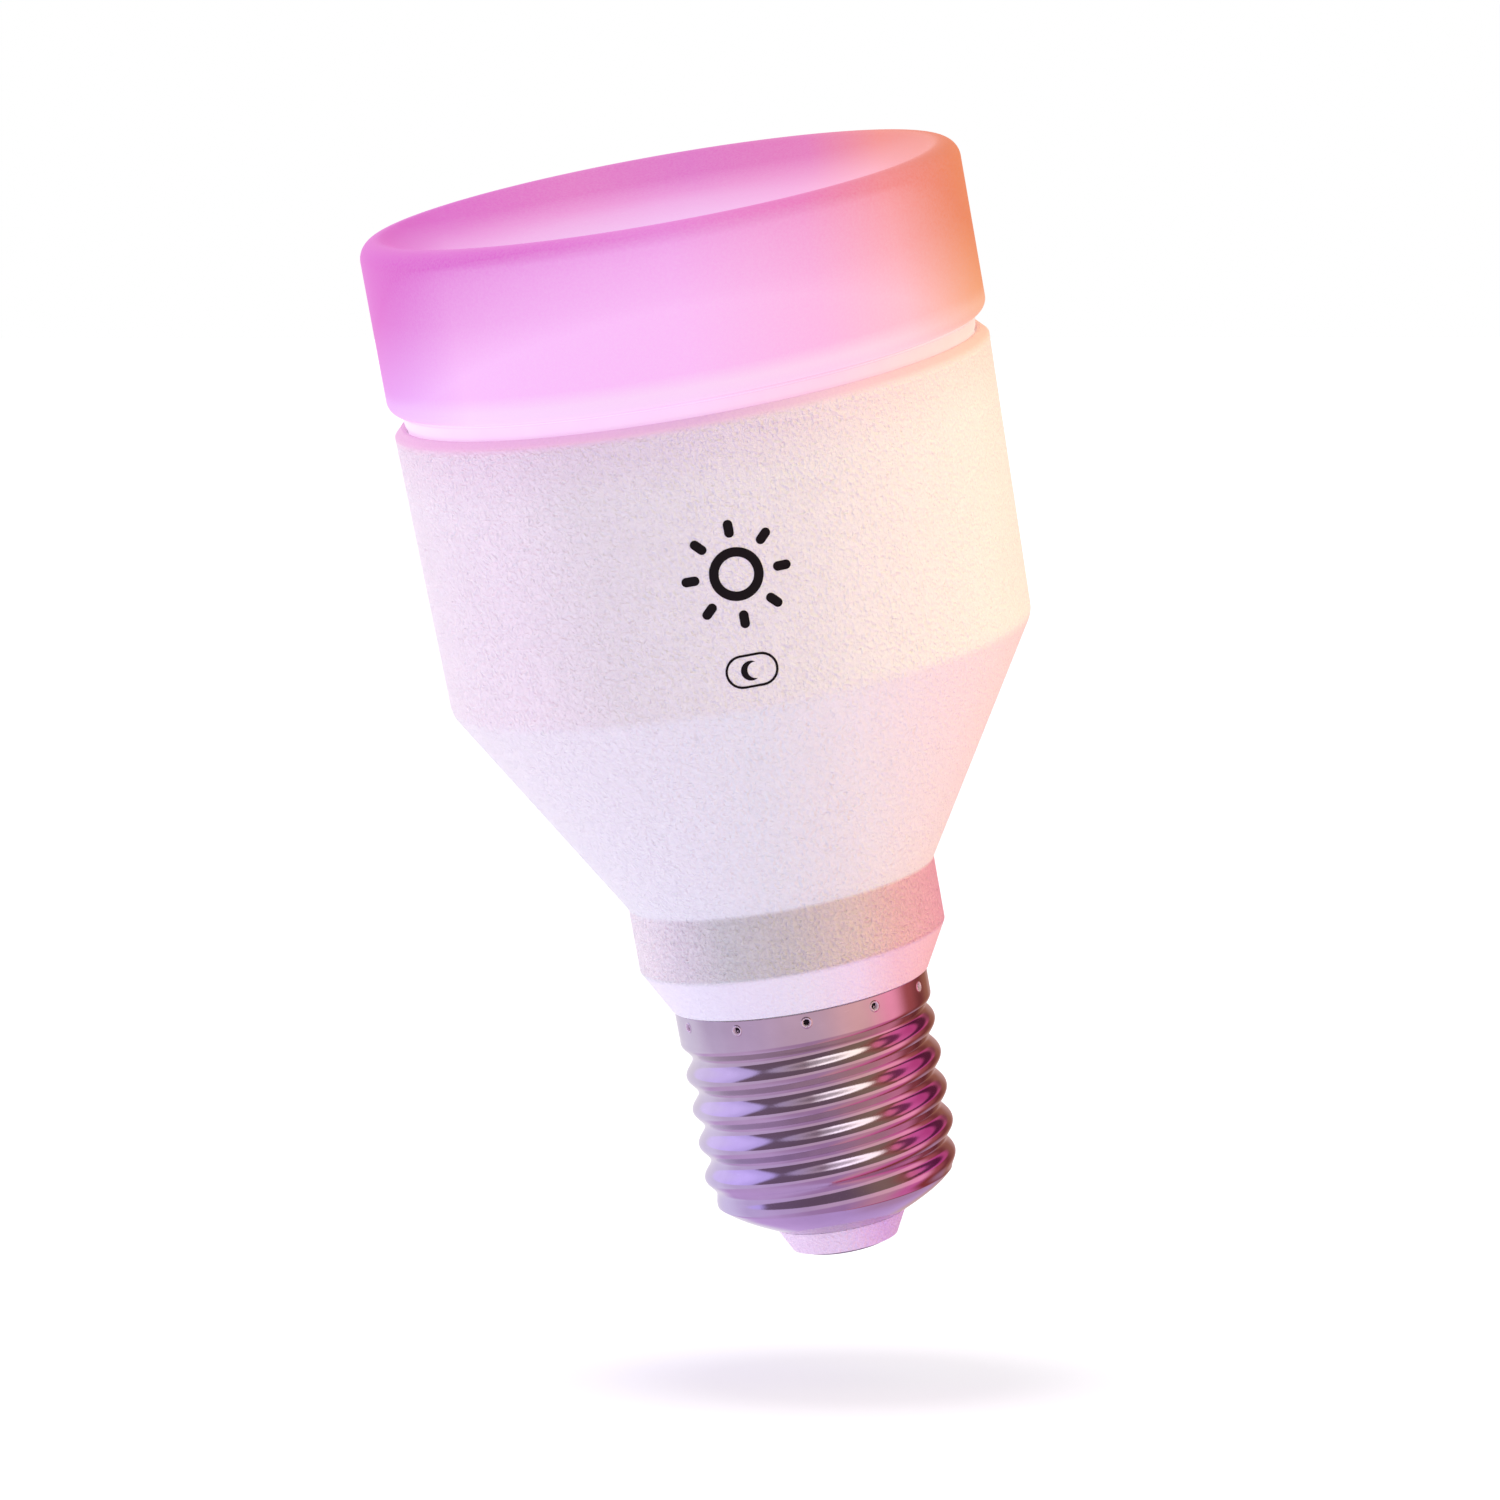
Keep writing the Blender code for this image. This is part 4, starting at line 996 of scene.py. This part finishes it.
BEHIND = (1.0, 0.97, 1.0)
ROOM_LOW = [(-180, BEHIND), (-135, (1.05, 1.03, 1.05)), (-90, (1.8, 1.78, 1.5)), (-45, (0.8, 1.14, 1.65)),
            (0, (0.98, 0.61, 1.03)), (45, (1.12, 0.83, 0.83)), (90, (1.56, 0.5, 0.47)),
            (135, (1.0, 0.95, 0.95)), (180, BEHIND)]
ROOM_HIGH = [(-180, BEHIND), (-135, (1.05, 1.02, 1.05)), (-90, (1.8, 1.08, 1.27)), (-45, (0.58, 0.25, 0.62)),
             (0, (0.93, 0.77, 0.9)), (45, (1.58, 1.67, 0.76)), (90, (1.58, 1.6, 1.0)),
             (135, (1.0, 1.0, 1.0)), (180, BEHIND)]
SIDE_GLOSS = (0.9, 0.85, 1.0)
GLOSS_FLOOR = [(-180, (0.72, 0.5, 0.9)), (-90, (0.75, 0.55, 0.9)), (0, (0.55, 0.33, 0.58)),
               (50, (0.8, 0.4, 0.5)), (90, (0.9, 0.2, 0.48)), (115, (0.35, 0.06, 0.05)),
               (150, (0.6, 0.35, 0.5)), (180, (0.72, 0.5, 0.9))]
GLOSS_LOW = [(-180, (0.9, 0.85, 0.95)), (-130, (0.97, 0.93, 1.2)), (-95, (0.79, 0.68, 1.0)),
             (-60, (0.77, 0.61, 0.93)), (0, (0.8, 0.58, 0.76)), (50, (1.1, 0.65, 0.68)),
             (85, (1.38, 0.5, 0.74)), (110, (0.53, 0.12, 0.13)), (130, (0.27, 0.06, 0.06)),
             (150, (0.42, 0.16, 0.11)), (165, (0.6, 0.34, 0.3)), (180, (0.7, 0.5, 0.5))]
GLOSS_DARK = [(-180, SIDE_GLOSS), (-135, (1.05, 0.95, 1.5)), (-110, (0.98, 0.84, 1.56)),
              (-86, (0.8, 0.68, 1.3)), (-74, (0.22, 0.15, 0.24)), (0, (0.2, 0.13, 0.18)),
              (50, (0.34, 0.22, 0.17)), (72, (0.42, 0.14, 0.12)), (80, (1.0, 0.24, 0.42)),
              (100, (1.0, 0.17, 0.52)), (120, (0.75, 0.09, 0.34)), (135, (0.75, 0.12, 0.3)),
              (150, (0.3, 0.08, 0.1)), (180, (0.6, 0.45, 0.5))]
GLOSS_BRIGHT = [(-180, SIDE_GLOSS), (-110, (0.95, 0.7, 1.45)), (-74, (0.6, 0.5, 0.8)),
                (-20, (0.6, 0.46, 0.55)), (-6, (1.4, 1.25, 1.4)), (8, (2.1, 1.95, 2.1)),
                (66, (2.1, 1.9, 1.75)), (84, (1.4, 0.6, 0.7)), (110, (1.0, 0.15, 0.5)),
                (140, (0.9, 0.14, 0.35)), (180, (0.6, 0.45, 0.5))]
ROOM_GAIN = 2.0

# By degrees above the horizon: how far the long light shows, and how far dark lines dim what the right side
# mirrors.

LONG_LIGHT = [(-90, 0), (54, 0), (57.5, 1), (61, 1), (64.5, 0.22), (90, 0.22)]
DARK_LINES = [(-90, 1), (15, 1), (18, 0.2), (25, 0.2), (28, 1), (38, 1), (41, 0.25), (46, 0.25), (49, 1),
              (90, 1)]


def by_heading(p, azimuth, stops):
    """A colour round the horizon. The ramp holds the colours divided by the gain."""
    places = [((angle + 180) / 360, tuple(v / ROOM_GAIN for v in colour)) for angle, colour in stops]
    share = p.span(azimuth, -math.pi, math.pi)
    return p.mix(1.0, p.ramp(share, places, "EASE"), (ROOM_GAIN,) * 3, "MULTIPLY")


def make_room():
    """Soft light from all round: lilac on the left, peach on the right, and dim towards the camera.
    What polished metal mirrors has a dark room behind the camera, with one long light in it."""
    world = bpy.data.worlds.new("room")
    bpy.context.scene.world = world
    world.use_nodes = True
    world.cycles.sampling_method = "NONE"
    p = Paint("room", tree=world.node_tree)
    heading = p.tree.nodes.new("ShaderNodeTexCoord").outputs["Generated"]
    x, y, z = p.axes(heading)
    azimuth = p.maths("ARCTAN2", x, p.product(y, -1.0))
    height = p.maths("ARCSINE", z)
    share = p.span(height, math.radians(-30), math.radians(30), smooth=True)
    soft = p.mix(share, by_heading(p, azimuth, ROOM_LOW), by_heading(p, azimuth, ROOM_HIGH))
    degrees = p.product(height, 180 / math.pi)
    light = p.curve(degrees, LONG_LIGHT)
    above = p.mix(light, by_heading(p, azimuth, GLOSS_DARK), by_heading(p, azimuth, GLOSS_BRIGHT))
    lined = p.mix(1.0, above, p.curve(degrees, DARK_LINES), "MULTIPLY")
    above = p.mix(p.span(azimuth, math.radians(66), math.radians(80)), above, lined)
    gloss = p.mix(p.span(degrees, 8, 12), by_heading(p, azimuth, GLOSS_LOW), above)
    gloss = p.mix(p.span(degrees, -35, -25), by_heading(p, azimuth, GLOSS_FLOOR), gloss)
    path = p.node("LightPath")
    lit = p.mix(path.outputs["Is Glossy Ray"], soft, gloss)
    lit = p.mix(path.outputs["Is Camera Ray"], lit, (1.0, 1.0, 1.0))
    p.feed(p.tree.nodes["Background"].inputs["Color"], lit)


def make_overhead(floor):
    """A soft light from above that falls on the floor alone, for the lamp's shadow."""
    light = bpy.data.lights.new("overhead", "SUN")
    light.energy = 2.5
    light.angle = math.radians(23)
    lamp = bpy.data.objects.new("overhead", light)
    bpy.context.scene.collection.objects.link(lamp)
    lamp.rotation_euler = (0, math.radians(0.6), 0)
    receivers = bpy.data.collections.new("floor_light")
    receivers.objects.link(floor)
    lamp.light_linking.receiver_collection = receivers


make_room()
make_overhead(make_floor())
bpy.context.scene.view_settings.view_transform = "Standard"
